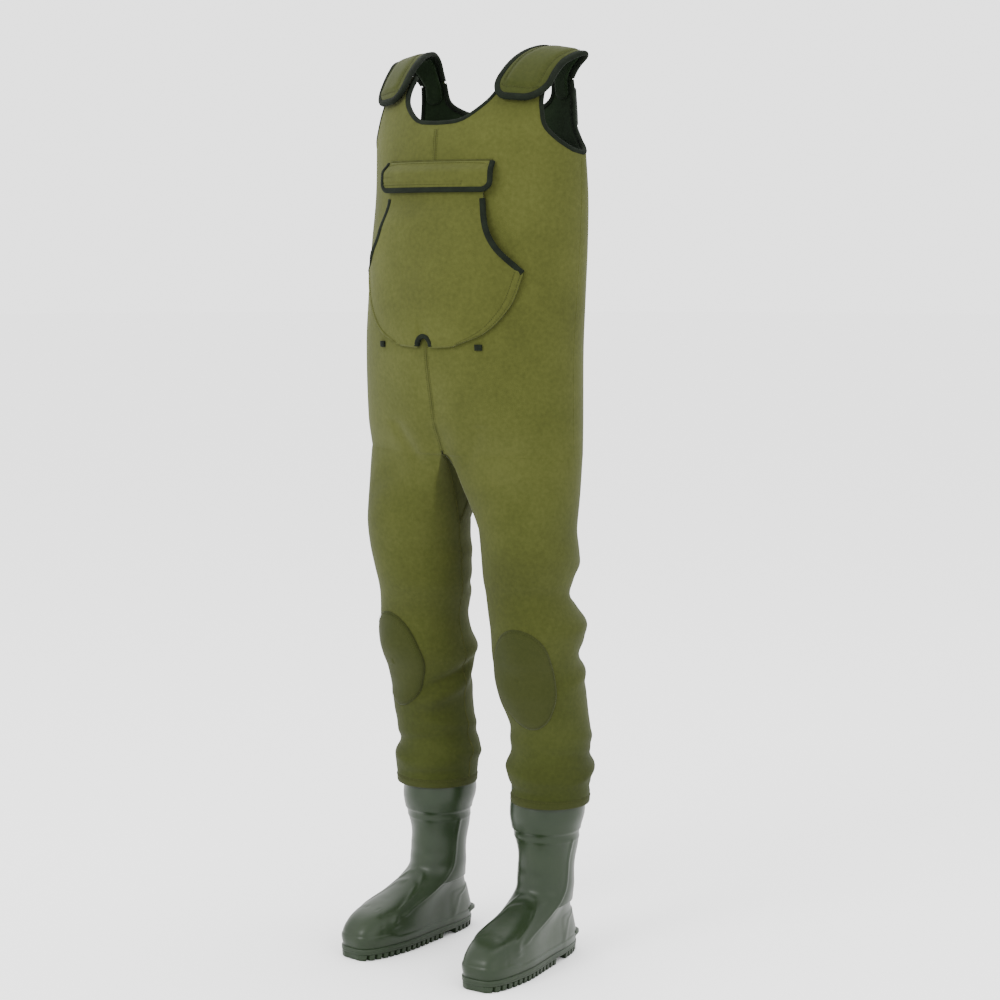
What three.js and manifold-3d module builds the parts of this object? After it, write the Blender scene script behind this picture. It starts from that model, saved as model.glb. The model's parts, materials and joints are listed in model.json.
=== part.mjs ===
// Neoprene chest waders with moulded boots. Millimetres, +Z up, +X the wearer's left, -Y the front.
// The garment stands upright on its soles. The origin is on the ground, under the middle of its box.
import * as THREE from 'three';
import { mergeVertices } from 'three/addons/utils/BufferGeometryUtils.js';
import Module from 'manifold-3d';

const wasm = await Module();
wasm.setup();

// ---- driving dimensions -------------------------------------------------------------------------

// lengths along the body
const BOOT_TOP = 282;            // top rim of the boot shaft above the ground
const HEM_HEIGHT = 258;          // lower edge of the neoprene leg, which laps over the boot
const SHIN_LENGTH = 222;         // hem to the middle of the knee
const THIGH_LENGTH = 338;        // middle of the knee to the crotch
const TORSO_LENGTH = 482;        // crotch to the shoulder line, where the shoulders start to curve
const SHOULDER_RISE = 134;       // shoulder line to the ridge of the shoulder
const SHOULDER_ARC = 110;        // arc length per radian of the shoulder's quarter turn

// widths and walls
const TORSO_HALF_WIDTH = 198;
const LEG_SPACING = 111;         // middle plane to the middle of each leg
const THIGH_RADIUS = 80;
const SHIN_RADIUS = 66;
const BOOT_SHAFT_RADIUS = 58;    // outside of the boot's rim
const WALL = 5;                  // neoprene
const BOOT_WALL = 3;
const GAP = 0.3;                 // clearance between pieces that touch
const LAY = 1.5;                 // clearance under a piece laid on a curved panel
const BINDING_FLANGE = 4;        // how far a binding reaches over its panel
const BINDING_SKIN = 1.1;        // thickness of the binding tape
const BINDING_CLEARANCE = 1.6;   // room between a binding and the curved panel in it
const ARMHOLE_CLEARANCE = 2.8;   // the same where the edge runs steeply round the arm

// seams between panels, measured from the crotch, the knee and the ground
const HIP_SEAM = 52;             // above the crotch
const THIGH_SEAM = 116;          // below the crotch
const KNEE_SEAM = 82;            // above and below the middle of the knee
const TAPE_WIDTH = 20;
const TAPE_SKIN = 0.8;
const HEM_TAPE_WIDTH = 11;

// shoulder straps, with places as heights along the cloth from the shoulder line
const STRAP_END = 50;
const EAR_TOP = 98;              // the front panel's ear that the strap closes on
const STRAP_SEAM = 92;           // where the strap is sewn to the back panel
const STRAP_OFFSET = 7;          // from the ear's face to the underside of the strap
const STRAP_END_RADIUS = 26;
const STRAP_PAD_SKIN = 4;
const PATCH_SKIN = 1.4;          // hook or loop tape

// chest pocket, with heights measured down from the shoulder line
const FLAP_TOP = 32;
const FLAP_LENGTH = 45;
const FLAP_HALF_WIDTH = 101;
const FLAP_WALL = 3.5;
const FLAP_RISE = 18;            // the flap's height over which it leaves the chest
const POUCH_TOP = 60;
const POUCH_TIP = 200;           // the widest point, at the foot of each hand opening
const POUCH_BOTTOM = 315;
const POUCH_TOP_HALF_WIDTH = 86;
const POUCH_TIP_HALF_WIDTH = 150;
const POUCH_BOTTOM_HALF_WIDTH = 52;
const POUCH_WALL = 3.5;
const POUCH_TOP_LIFT = 4.5;      // inside face of the pouch above the chest at its top edge
const POUCH_BULGE = 12.5;        // inside face of the pouch above the chest at the hand openings
const LINING_SKIN = 1;
const NOTCH_HALF_WIDTH = 12;
const NOTCH_HEIGHT = 16;
const TAB_PLACE = 97;            // middle plane to each tack tab

// knee pads
const PAD_HALF_WIDTH = 54;
const PAD_HALF_HEIGHT = 79;
const PAD_THICKNESS = 4;
const PAD_TURN = 18;             // degrees outward from straight ahead

// boots
const HEEL_REACH = 62;           // ankle axis to the back of the heel
const TOE_REACH = 212;           // ankle axis to the toe
const FOOT_HALF_WIDTH = 47;
const FOOT_SPLAY = 4.2;          // degrees outward
const ANKLE_SHIFT = 27;          // ankle axis behind the middle plane
const SOLE_THICKNESS = 19;
const TREAD_DEPTH = 9;
const WELT = 3;                  // how far the sole stands proud of the upper
const HEEL_LENGTH = 68;
const LINER_SKIN = 1.6;
const INSOLE_THICKNESS = 4;

// mesh fineness
const RING_STEPS = 16;
const NECK_STEPS = 6;
const ARMHOLE_STEPS = 8;
const PANEL_ROWS = [0, 0.22, 0.42, 0.6, 0.75, 0.87, 0.95, 0.985, 1];
const BOOT_STEPS = 16;

// ---- levels worked out from the lengths ---------------------------------------------------------

const KNEE = HEM_HEIGHT + SHIN_LENGTH;
const CROTCH = KNEE + THIGH_LENGTH;
const SHOULDER = CROTCH + TORSO_LENGTH;
const RIDGE = SHOULDER + SHOULDER_ARC * Math.PI / 2;
const HIP_LINE = CROTCH + HIP_SEAM;
const THIGH_TOP = CROTCH - THIGH_SEAM;
const KNEE_TOP = KNEE + KNEE_SEAM;
const KNEE_BOTTOM = KNEE - KNEE_SEAM;

// Torso sections: share of the torso's length, half width beyond the shoulder's, front, back, side line.
const TORSO_SECTIONS = [
  [0.00, 0, -108, 88, -18],
  [0.10, 1, -124, 92, -21],
  [0.34, 0, -138, 92, -19],
  [0.50, 0, -134, 92, -12],
  [0.67, -1, -127, 94, -3],
  [0.83, -4, -120, 90, 6],
  [1.00, -4, -113, 58, 5],
];

// Leg sections: share of the way from the boot's rim to the knee (below 1) or on to the crotch (up to 2),
// radius beyond the shin's or the thigh's, and the middle of the section forward of the middle plane.
const LEG_SECTIONS = [
  [-0.20, -0.5, 31],
  [0.00, -0.5, 31],
  [0.30, 0, 31],
  [0.60, 0, 22],
  [1.00, 5, 4],
  [1.25, -8, -6],
  [1.50, -5, -15],
  [2.00, 2, -20],
];

const SHOULDER_HALF_WIDTH = TORSO_HALF_WIDTH + TORSO_SECTIONS.at(-1)[1];
const RIDGE_SHIFT = 17;          // the ridge of the shoulder lies behind the side line by this much
const SHOULDER_SLOPE = 0.17;     // drop of the ridge for each millimetre outward
const SLOPE_START = 110;

// ---- materials ----------------------------------------------------------------------------------

function material(colour, roughness) {
  return new THREE.MeshStandardMaterial({ color: colour, roughness, metalness: 0 });
}

const olive = () => material(0x6f7440, 0.88);
const darkOlive = () => material(0x5d6334, 0.9);
const bindingGreen = () => material(0x17251a, 0.8);
const liningGreen = () => material(0x1f3322, 0.92);
const hookBlack = () => material(0x15181a, 0.95);
const bootGreen = () => material(0x33533a, 0.42);
const soleGreen = () => material(0x1f3124, 0.6);

// ---- small mathematics --------------------------------------------------------------------------

const V = (x, y, z) => new THREE.Vector3(x, y, z);
const RAD = Math.PI / 180;
const lerp = THREE.MathUtils.lerp;
const smooth = (x, from, to) => THREE.MathUtils.smoothstep(x, from, to);

// A smooth curve through rows whose first value is the place; returns the other values at a place.
function sample(rows, place) {
  const last = rows.length - 1;
  let k = rows.findIndex((row) => row[0] > place) - 1;
  if (k < -1) k = last - 1;
  k = Math.max(0, Math.min(last - 1, k));
  const [a, b] = [rows[k], rows[k + 1]];
  const before = rows[Math.max(0, k - 1)];
  const after = rows[Math.min(last, k + 2)];
  const span = b[0] - a[0];
  const t = Math.max(0, Math.min(1, (place - a[0]) / span));
  return a.slice(1).map((_, i) => {
    const [p, q] = [a[i + 1], b[i + 1]];
    const slopeA = k === 0 ? (q - p) / span : (q - before[i + 1]) / (b[0] - before[0]);
    const slopeB = k === last - 1 ? (q - p) / span : (after[i + 1] - p) / (after[0] - a[0]);
    const t2 = t * t;
    const t3 = t2 * t;
    return (2 * t3 - 3 * t2 + 1) * p + (t3 - 2 * t2 + t) * span * slopeA
      + (3 * t2 - 2 * t3) * q + (t3 - t2) * span * slopeB;
  });
}

// Evenly spaced points of a smooth curve through hand-placed points in the plane.
function spread(points, steps) {
  const curve = new THREE.SplineCurve(points.map(([x, y]) => new THREE.Vector2(x, y)));
  return curve.getSpacedPoints(steps).map((p) => [p.x, p.y]);
}

// ---- the body surfaces --------------------------------------------------------------------------

// Outer face of the torso. angle: 0 front, 90 the wearer's left side, 180 back. height: along the cloth.
function torso(angle, height) {
  const u = angle * RAD;
  const share = (height - CROTCH) / TORSO_LENGTH;
  const [extra, front, back, side] = sample(TORSO_SECTIONS, Math.min(1, share));
  const halfWidth = TORSO_HALF_WIDTH + extra;
  const depth = Math.cos(u) > 0 ? side - front : back - side;
  const x = halfWidth * Math.sin(u);
  if (height <= SHOULDER) return V(x, side - depth * Math.cos(u), height);
  const phi = (height - SHOULDER) / SHOULDER_ARC;
  const rise = SHOULDER_RISE - SHOULDER_SLOPE * Math.max(0, Math.abs(x) - SLOPE_START);
  const y = side + RIDGE_SHIFT * Math.sin(phi) - depth * Math.cos(u) * Math.cos(phi);
  return V(x, y, SHOULDER + rise * Math.sin(phi));
}

function legSection(z) {
  const share = z < KNEE ? (z - BOOT_TOP) / (KNEE - BOOT_TOP) : 1 + (z - KNEE) / THIGH_LENGTH;
  const [extra, y] = sample(LEG_SECTIONS, share);
  const base = z < KNEE ? SHIN_RADIUS : lerp(SHIN_RADIUS, THIGH_RADIUS, smooth(share, 1, 1.6));
  return { radius: base + extra, y };
}

// Outer face of a leg. angle: 0 front, 90 outside.
function leg(angle, z) {
  const { radius, y } = legSection(z);
  const psi = angle * RAD;
  return V(LEG_SPACING + radius * Math.sin(psi), y - radius * Math.cos(psi), z);
}

// The pelvis turns from half of the torso's section at the crotch into a round leg below it.
const GROIN_ANGLE = 55;
const CROTCH_ROUNDING = 0.6;

function legShare(z) {
  return Math.pow(Math.max(0, (CROTCH - z) / THIGH_SEAM), CROTCH_ROUNDING);
}

// share: 0 at the front middle, 1 at the back middle, round the outside.
function hip(share, z) {
  const above = torso(180 * share, Math.max(z, CROTCH)).setZ(z);
  if (z >= CROTCH) return above;
  const below = leg(lerp(-GROIN_ANGLE, 180 + GROIN_ANGLE, share), z);
  return above.lerp(below, legShare(z));
}

// across: -1 and 1 at the foot of each side, 0 at the crotch. along: 0 front, 1 back.
function gusset(across, along) {
  const reach = Math.abs(across);
  const z = CROTCH - THIGH_SEAM * Math.pow(reach, 1 / CROTCH_ROUNDING);
  const front = torso(0, CROTCH);
  const back = torso(180, CROTCH);
  const above = V(0, lerp(front.y, back.y, along), z);
  const below = leg(lerp(-GROIN_ANGLE, GROIN_ANGLE - 180, along), z);
  const point = above.lerp(below, legShare(z));
  return point.setX(point.x * Math.sign(across));
}

// Turns a surface into one with a third value, the distance out from it. centre gives a point inside it.
function thicken(surface, stepA, stepB, centre) {
  return (a, b, offset) => {
    const point = surface(a, b);
    const da = surface(a + stepA, b).sub(surface(a - stepA, b));
    const db = surface(a, b + stepB).sub(surface(a, b - stepB));
    const normal = da.cross(db).normalize();
    if (normal.dot(point.clone().sub(centre(point))) < 0) normal.negate();
    return point.addScaledVector(normal, offset);
  };
}

const torsoShell = thicken(torso, 0.2, 0.5, (p) => V(p.x * 0.5, 0, Math.min(p.z, SHOULDER) - 10));
const legShell = thicken(leg, 0.2, 0.5, (p) => V(LEG_SPACING, legSection(p.z).y, p.z));
const hipShell = thicken(hip, 0.002, 0.5, (p) => V(LEG_SPACING * 0.9, -18, p.z));
const gussetShell = thicken(gusset, 0.004, 0.004, (p) => V(p.x * 3, -18, p.z + 40));

// x and a height along the cloth, counted on over the ridge and down the back, as the torso's own values.
function shoulderPlace(x, height) {
  const angle = Math.asin(x / SHOULDER_HALF_WIDTH) / RAD;
  return height <= RIDGE ? [angle, height] : [180 - angle, 2 * RIDGE - height];
}

function shoulderShell(x, height, offset) {
  const [angle, along] = shoulderPlace(x, height);
  return torsoShell(angle, along, offset);
}

// ---- building closed bodies ---------------------------------------------------------------------

function signedVolume(positions, triangles) {
  let volume = 0;
  const [a, b, c] = [V(0, 0, 0), V(0, 0, 0), V(0, 0, 0)];
  for (let i = 0; i < triangles.length; i += 3) {
    a.fromArray(positions, 3 * triangles[i]);
    b.fromArray(positions, 3 * triangles[i + 1]);
    c.fromArray(positions, 3 * triangles[i + 2]);
    volume += a.dot(b.cross(c)) / 6;
  }
  return volume;
}

function body(points, triangles) {
  const positions = points.flatMap((p) => [p.x, p.y, p.z]);
  if (signedVolume(positions, triangles) < 0) {
    for (let i = 0; i < triangles.length; i += 3) {
      [triangles[i], triangles[i + 1]] = [triangles[i + 1], triangles[i]];
    }
  }
  const geometry = new THREE.BufferGeometry();
  geometry.setAttribute('position', new THREE.Float32BufferAttribute(positions, 3));
  geometry.setIndex(triangles);
  geometry.computeVertexNormals();
  return geometry;
}

// A closed sheet between an outer and an inner face. place(i, j, face) is the point at column i, row j,
// with face 1 outside and 0 inside. A ring has its last column joined to its first.
function sheet(columns, rows, place, ring = false) {
  const points = [];
  const across = ring ? columns : columns + 1;
  for (const face of [1, 0]) {
    for (let j = 0; j <= rows; j++) {
      for (let i = 0; i < across; i++) points.push(place(i, j, face));
    }
  }
  const at = (i, j, face) => (face ? 0 : across * (rows + 1)) + j * across + (ring ? i % columns : i);
  const triangles = [];
  const quad = (a, b, c, d) => triangles.push(a, b, c, a, c, d);
  for (let j = 0; j < rows; j++) {
    for (let i = 0; i < columns; i++) {
      quad(at(i, j, 1), at(i + 1, j, 1), at(i + 1, j + 1, 1), at(i, j + 1, 1));
      quad(at(i, j + 1, 0), at(i + 1, j + 1, 0), at(i + 1, j, 0), at(i, j, 0));
    }
  }
  for (let i = 0; i < columns; i++) {
    quad(at(i, 0, 0), at(i + 1, 0, 0), at(i + 1, 0, 1), at(i, 0, 1));
    quad(at(i, rows, 1), at(i + 1, rows, 1), at(i + 1, rows, 0), at(i, rows, 0));
  }
  if (!ring) {
    for (let j = 0; j < rows; j++) {
      quad(at(0, j, 0), at(0, j, 1), at(0, j + 1, 1), at(0, j + 1, 0));
      quad(at(columns, j, 1), at(columns, j, 0), at(columns, j + 1, 0), at(columns, j + 1, 1));
    }
  }
  return body(points, triangles);
}

// A closed section of [out from the edge, out from the face] values carried along a list of frames.
function sweep(frames, section) {
  const outline = section.map(([e, n]) => new THREE.Vector2(e, n));
  if (THREE.ShapeUtils.area(outline) < 0) outline.reverse();
  const count = outline.length;
  const points = frames.flatMap(({ point, edge, normal }) => outline.map(
    ({ x, y }) => point.clone().addScaledVector(edge, x).addScaledVector(normal, y),
  ));
  const triangles = [];
  for (let k = 0; k + 1 < frames.length; k++) {
    for (let i = 0; i < count; i++) {
      const a = k * count + i;
      const b = k * count + (i + 1) % count;
      triangles.push(a, b, b + count, a, b + count, a + count);
    }
  }
  const end = (frames.length - 1) * count;
  for (const [a, b, c] of THREE.ShapeUtils.triangulateShape(outline, [])) {
    triangles.push(c, b, a, end + a, end + b, end + c);
  }
  return body(points, triangles);
}

// Frames along an edge of a surface; inside is a point list on the panel beside each edge point.
function edgeFrames(shell, edge, inside) {
  const points = edge.map(([a, b]) => shell(a, b, 0));
  return points.map((point, k) => {
    const [a, b] = edge[k];
    const normal = shell(a, b, 1).sub(point).normalize();
    const before = points[Math.max(0, k - 1)];
    const after = points[Math.min(points.length - 1, k + 1)];
    const along = after.clone().sub(before).normalize();
    const out = along.cross(normal).normalize();
    const [c, d] = inside[k];
    if (out.dot(shell(c, d, 0).sub(point)) > 0) out.negate();
    return { point, edge: out, normal };
  });
}

// The folded tape round a panel's edge, whose faces are at the offsets low and high.
function bindingSection(low, high, clearance = BINDING_CLEARANCE) {
  const cap = 1.8;
  const outer = high + clearance;
  const inner = low - clearance;
  return [
    [-BINDING_FLANGE, outer + BINDING_SKIN], [cap + BINDING_SKIN, outer + BINDING_SKIN],
    [cap + BINDING_SKIN, inner - BINDING_SKIN], [-BINDING_FLANGE, inner - BINDING_SKIN],
    [-BINDING_FLANGE, inner], [cap, inner], [cap, outer], [-BINDING_FLANGE, outer],
  ];
}

function solid(geometry) {
  const bare = geometry.clone();
  bare.deleteAttribute('normal');
  bare.deleteAttribute('uv');
  const merged = mergeVertices(bare, 1e-4);
  return new wasm.Manifold(new wasm.Mesh({
    numProp: 3,
    vertProperties: merged.attributes.position.array,
    triVerts: new Uint32Array(merged.index.array),
  }));
}

function fromSolid(shape) {
  const mesh = shape.getMesh();
  const geometry = new THREE.BufferGeometry();
  geometry.setAttribute('position', new THREE.BufferAttribute(mesh.vertProperties, 3));
  geometry.setIndex(new THREE.BufferAttribute(mesh.triVerts, 1));
  geometry.computeVertexNormals();
  return geometry;
}

// An outline in the XY plane pulled up from one level to another.
function prism(outline, bottom, top) {
  const shape = new THREE.Shape(outline.map(([x, y]) => new THREE.Vector2(x, y)));
  const geometry = new THREE.ExtrudeGeometry(shape, { depth: top - bottom, bevelEnabled: false });
  geometry.translate(0, 0, bottom);
  return geometry;
}

function mirrored(geometry) {
  const copy = geometry.clone();
  const position = copy.attributes.position;
  for (let i = 0; i < position.count; i++) position.setX(i, -position.getX(i));
  const plain = Array.from({ length: position.count }, (_, i) => i);
  const index = copy.index ? Array.from(copy.index.array) : plain;
  for (let i = 0; i < index.length; i += 3) [index[i], index[i + 1]] = [index[i + 1], index[i]];
  copy.setIndex(index);
  copy.computeVertexNormals();
  return copy;
}

// ---- assembling ---------------------------------------------------------------------------------

const waders = new THREE.Group();

function add(name, geometry, finish, parent = waders) {
  const mesh = new THREE.Mesh(geometry, finish());
  mesh.name = name;
  parent.add(mesh);
  return mesh;
}

// The geometry is the wearer's left piece.
function addPair(name, geometry, finish) {
  add(`${name}_left`, geometry, finish);
  add(`${name}_right`, mirrored(geometry), finish);
}

// ---- bib panels ---------------------------------------------------------------------------------

const SEAM_ANGLE = 0.06;         // half of the gap at a seam, in degrees round the torso
const NECK_DEPTH = 23;           // front neckline above the shoulder line, along the cloth
const BACK_NECK_DEPTH = 37;
const EAR_INNER = 92;
const EAR_OUTER = 152;
const BACK_EAR_INNER = 108;
const BACK_EAR_OUTER = 148;
const BACK_EAR_HALF = (BACK_EAR_OUTER - BACK_EAR_INNER) / 2;
const ARMHOLE_DROP = 18;         // lowest point of the armhole, below the shoulder line

const angleOf = (x) => Math.asin(x / SHOULDER_HALF_WIDTH) / RAD;

// Each edge is a list of [angle, height] places on the torso, the wearer's left half.
const frontNeck = spread([
  [SEAM_ANGLE, SHOULDER + NECK_DEPTH],
  [angleOf(40), SHOULDER + NECK_DEPTH + 3],
  [angleOf(70), SHOULDER + NECK_DEPTH + 20],
  [angleOf(EAR_INNER - 6), SHOULDER + NECK_DEPTH + 40],
  [angleOf(EAR_INNER), SHOULDER + EAR_TOP],
], NECK_STEPS);

const frontArmhole = spread([
  [angleOf(EAR_OUTER), SHOULDER + EAR_TOP],
  [angleOf(EAR_OUTER) + 1, SHOULDER + 62],
  [angleOf(EAR_OUTER) + 3, SHOULDER + 40],
  [angleOf(EAR_OUTER) + 8, SHOULDER + 14],
  [77, SHOULDER - ARMHOLE_DROP + 6],
  [90 - SEAM_ANGLE, SHOULDER - ARMHOLE_DROP],
], ARMHOLE_STEPS);

const backArmhole = spread([
  [90 + SEAM_ANGLE, SHOULDER - ARMHOLE_DROP],
  [105, SHOULDER - ARMHOLE_DROP + 6],
  [118, SHOULDER + 3],
  [180 - angleOf(BACK_EAR_OUTER) - 3, SHOULDER + 24],
  [180 - angleOf(BACK_EAR_OUTER) - 0.8, SHOULDER + 54],
  [180 - angleOf(BACK_EAR_OUTER), SHOULDER + STRAP_SEAM],
], ARMHOLE_STEPS);

const backNeck = spread([
  [180 - angleOf(BACK_EAR_INNER), SHOULDER + STRAP_SEAM],
  [180 - angleOf(BACK_EAR_INNER - 5), SHOULDER + BACK_NECK_DEPTH + 24],
  [180 - angleOf(80), SHOULDER + BACK_NECK_DEPTH + 9],
  [180 - angleOf(50), SHOULDER + BACK_NECK_DEPTH + 2],
  [180 - SEAM_ANGLE, SHOULDER + BACK_NECK_DEPTH],
], NECK_STEPS);

// A panel hangs from its top edge to the hip line; its columns spread out evenly on the way down.
function bibPanel(top, fromAngle, toAngle) {
  const columns = top.length - 1;
  const bottom = HIP_LINE + GAP / 2;
  return sheet(columns, PANEL_ROWS.length - 1, (i, j, face) => {
    const t = PANEL_ROWS[j];
    const even = lerp(fromAngle, toAngle, i / columns);
    const pull = t * t * t;
    return torsoShell(lerp(even, top[i][0], pull), lerp(bottom, top[i][1], t), face ? 0 : -WALL);
  });
}

const frontTop = [...frontNeck, ...frontArmhole];
const backTop = [...backArmhole, ...backNeck];
addPair('front_panel', bibPanel(frontTop, SEAM_ANGLE, 90 - SEAM_ANGLE), olive);
addPair('back_panel', bibPanel(backTop, 90 + SEAM_ANGLE, 180 - SEAM_ANGLE), olive);

// Tapes glued inside over the front and back middle seams.
function seamTape(angle, top) {
  const turn = TAPE_WIDTH / 2 / TORSO_HALF_WIDTH / RAD;
  return sheet(2, PANEL_ROWS.length - 1, (i, j, face) => torsoShell(
    angle + turn * (i - 1),
    lerp(HIP_LINE + 2, top, PANEL_ROWS[j]),
    face ? -WALL - LAY : -WALL - LAY - TAPE_SKIN,
  ));
}

const bindingReach = BINDING_FLANGE + 2;
add('front_seam_tape', seamTape(0, SHOULDER + NECK_DEPTH - bindingReach), liningGreen);
add('back_seam_tape', seamTape(180, SHOULDER + BACK_NECK_DEPTH - bindingReach), liningGreen);

// ---- bindings of the neck and the armholes ------------------------------------------------------

const flip = (edge) => edge.map(([a, h]) => [-a, h]).reverse();
const wallBinding = bindingSection(-WALL, 0);

function neckBinding(half, towardArm) {
  const whole = [...flip(half), ...half.slice(1)];
  const inside = whole.map(([a, h]) => [a + Math.sign(a) * towardArm, h - 12]);
  return sweep(edgeFrames(torsoShell, whole, inside), wallBinding);
}

const backNeckFromMiddle = [...backNeck].reverse().map(([a, h]) => [a - 180, h]);
const backShell = (a, h, offset) => torsoShell(a + 180, h, offset);
add('front_neck_binding', neckBinding(frontNeck, 4), bindingGreen);

function backNeckBinding() {
  const half = backNeckFromMiddle;
  const whole = [...half.slice(1).reverse(), ...half.map(([a, h]) => [-a, h])];
  const inside = whole.map(([a, h]) => [a + Math.sign(a) * 4, h - 12]);
  return sweep(edgeFrames(backShell, whole, inside), wallBinding);
}

add('back_neck_binding', backNeckBinding(), bindingGreen);

function armholeBinding() {
  const edge = [...frontArmhole, ...backArmhole.slice(1)];
  const inside = edge.map(([a, h]) => [90 + (a - 90) * 1.15, h - 14]);
  return sweep(edgeFrames(torsoShell, edge, inside), bindingSection(-WALL, 0, ARMHOLE_CLEARANCE));
}

addPair('armhole_binding', armholeBinding(), bindingGreen);

// ---- shoulder straps ----------------------------------------------------------------------------

// Height over the shoulder line counted on over the ridge, middle of the strap, half width.
const OVER = RIDGE - SHOULDER;
const STRAP_LINE = [
  [STRAP_END, 121, 37],
  [OVER - 62, 130, 36],
  [OVER, 146, 36],
  [2 * OVER - STRAP_SEAM - 30, 136, 25],
  [2 * OVER - STRAP_SEAM, BACK_EAR_INNER + BACK_EAR_HALF, BACK_EAR_HALF],
];

function strapPlace(across, along, inset) {
  const [middle, half] = sample(STRAP_LINE, along);
  return [middle + across * (half - inset), SHOULDER + along];
}

// How much shorter the strap is at its rounded end, for a place across it from -1 to 1.
function roundedEnd(across, inset) {
  const half = STRAP_LINE[0][2] - inset;
  const radius = STRAP_END_RADIUS - inset;
  const past = Math.max(0, Math.abs(across) * half - (half - radius));
  return radius - Math.sqrt(Math.max(0, radius * radius - past * past));
}

// The strap's underside stands off the front panel's ear, and comes down to meet the back panel.
const strapLift = (along) => lerp(STRAP_OFFSET, -WALL, smooth(along, OVER, 2 * OVER - STRAP_SEAM));

// A strip of the strap between two places along it. low and high are counted from the strap's underside.
function strapStrip(from, to, inset, low, high, columns, rows, rounded) {
  return sheet(columns, rows, (i, j, face) => {
    const across = Math.sin((2 * i / columns - 1) * Math.PI / 2);
    const start = from + inset + (rounded ? roundedEnd(across, inset) : 0);
    const along = lerp(start, to, j / rows);
    const [x, height] = strapPlace(across, along, inset);
    return shoulderShell(x, height, strapLift(along) + (face ? high : low));
  });
}

const strapTop = STRAP_OFFSET + WALL;
const strapInset = BINDING_SKIN + 0.8;
addPair('strap_flap', strapStrip(STRAP_END, OVER - GAP, strapInset, 0, WALL, 8, 6, true), olive);
addPair('strap_back', strapStrip(OVER + GAP - strapInset, 2 * OVER - STRAP_SEAM - GAP, strapInset,
  0, WALL, 4, 5, false), olive);

// The tape round the strap flap, from the ridge down one side, round the end and up the other.
function strapFlapBinding() {
  const steps = 5;
  const side = (across) => Array.from({ length: steps }, (_, k) => {
    const start = STRAP_END + strapInset + roundedEnd(across, strapInset);
    return strapPlace(across, lerp(OVER - 4, start, k / steps), strapInset);
  });
  const end = Array.from({ length: 9 }, (_, i) => {
    const across = Math.sin((2 * i / 8 - 1) * Math.PI / 2);
    return strapPlace(across, STRAP_END + strapInset + roundedEnd(across, strapInset), strapInset);
  });
  const edge = [...side(-1), ...end, ...side(1).reverse()];
  const middle = strapPlace(0, (STRAP_END + OVER) / 2, 0);
  return sweep(
    edgeFrames(shoulderShell, edge, edge.map(() => middle)),
    bindingSection(STRAP_OFFSET, strapTop),
  );
}

addPair('strap_binding', strapFlapBinding(), bindingGreen);

const patchInset = BINDING_FLANGE + 6;
const loopLow = LAY / 2 - STRAP_OFFSET;
const hookHigh = -LAY;
addPair('strap_loop_patch', strapStrip(STRAP_END + 2, EAR_TOP - 12, 20,
  loopLow, loopLow + PATCH_SKIN, 4, 3, false), hookBlack);
addPair('strap_hook_patch', strapStrip(STRAP_END + 8, EAR_TOP - 4, patchInset,
  hookHigh - PATCH_SKIN, hookHigh, 6, 3, false), hookBlack);
addPair('strap_pad', strapStrip(OVER + 3, 2 * OVER - STRAP_SEAM + 34, BINDING_FLANGE + 9,
  -LAY - STRAP_PAD_SKIN, -LAY, 4, 6, false), liningGreen);

// ---- chest pocket -------------------------------------------------------------------------------

const chest = (x, down, offset) => {
  const [extra] = sample(TORSO_SECTIONS, (SHOULDER - down - CROTCH) / TORSO_LENGTH);
  return torsoShell(Math.asin(x / (TORSO_HALF_WIDTH + extra)) / RAD, SHOULDER - down, offset);
};

// Half outline of the pouch from its top corner, by the hand opening, the tip and the sewn edge.
const HAND_STEPS = 5;
const SEWN_STEPS = 5;
const handEdge = spread([
  [POUCH_TOP_HALF_WIDTH, POUCH_TOP],
  [lerp(POUCH_TOP_HALF_WIDTH, POUCH_TIP_HALF_WIDTH, 0.15), lerp(POUCH_TOP, POUCH_TIP, 0.44)],
  [lerp(POUCH_TOP_HALF_WIDTH, POUCH_TIP_HALF_WIDTH, 0.42), lerp(POUCH_TOP, POUCH_TIP, 0.72)],
  [POUCH_TIP_HALF_WIDTH, POUCH_TIP],
], HAND_STEPS);
const sewnEdge = spread([
  [POUCH_TIP_HALF_WIDTH, POUCH_TIP],
  [lerp(POUCH_BOTTOM_HALF_WIDTH, POUCH_TIP_HALF_WIDTH, 0.85), lerp(POUCH_TIP, POUCH_BOTTOM, 0.44)],
  [lerp(POUCH_BOTTOM_HALF_WIDTH, POUCH_TIP_HALF_WIDTH, 0.52), lerp(POUCH_TIP, POUCH_BOTTOM, 0.78)],
  [POUCH_BOTTOM_HALF_WIDTH, POUCH_BOTTOM - 3],
], SEWN_STEPS);
const pouchSide = [...handEdge, ...sewnEdge.slice(1)];

// Height of the pouch's inside face over the chest, at row j and a place across it from -1 to 1.
const SEWN_LIFT = LINING_SKIN + LAY + GAP;

function pouchLift(across, j) {
  if (j <= HAND_STEPS) {
    const fill = smooth(j, 1, 2.5);
    const close = smooth(j, HAND_STEPS - 1.5, HAND_STEPS);
    const edge = lerp(POUCH_BULGE, SEWN_LIFT, close);
    return lerp(POUCH_TOP_LIFT, lerp(POUCH_BULGE, edge, Math.abs(across) ** 4), fill);
  }
  const toBottom = (j - HAND_STEPS) / SEWN_STEPS;
  const round = (1 - Math.abs(across) ** 3) * (1 - toBottom ** 2);
  return lerp(SEWN_LIFT, POUCH_BULGE, round);
}

function pouchPlace(across, j, inset) {
  const [half, down] = pouchSide[j];
  const bottomRow = HAND_STEPS + SEWN_STEPS;
  const even = lerp(POUCH_TOP, POUCH_BOTTOM, j / bottomRow);
  const pull = across * across;
  return [across * (half - inset), lerp(even, down, pull)];
}

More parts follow.
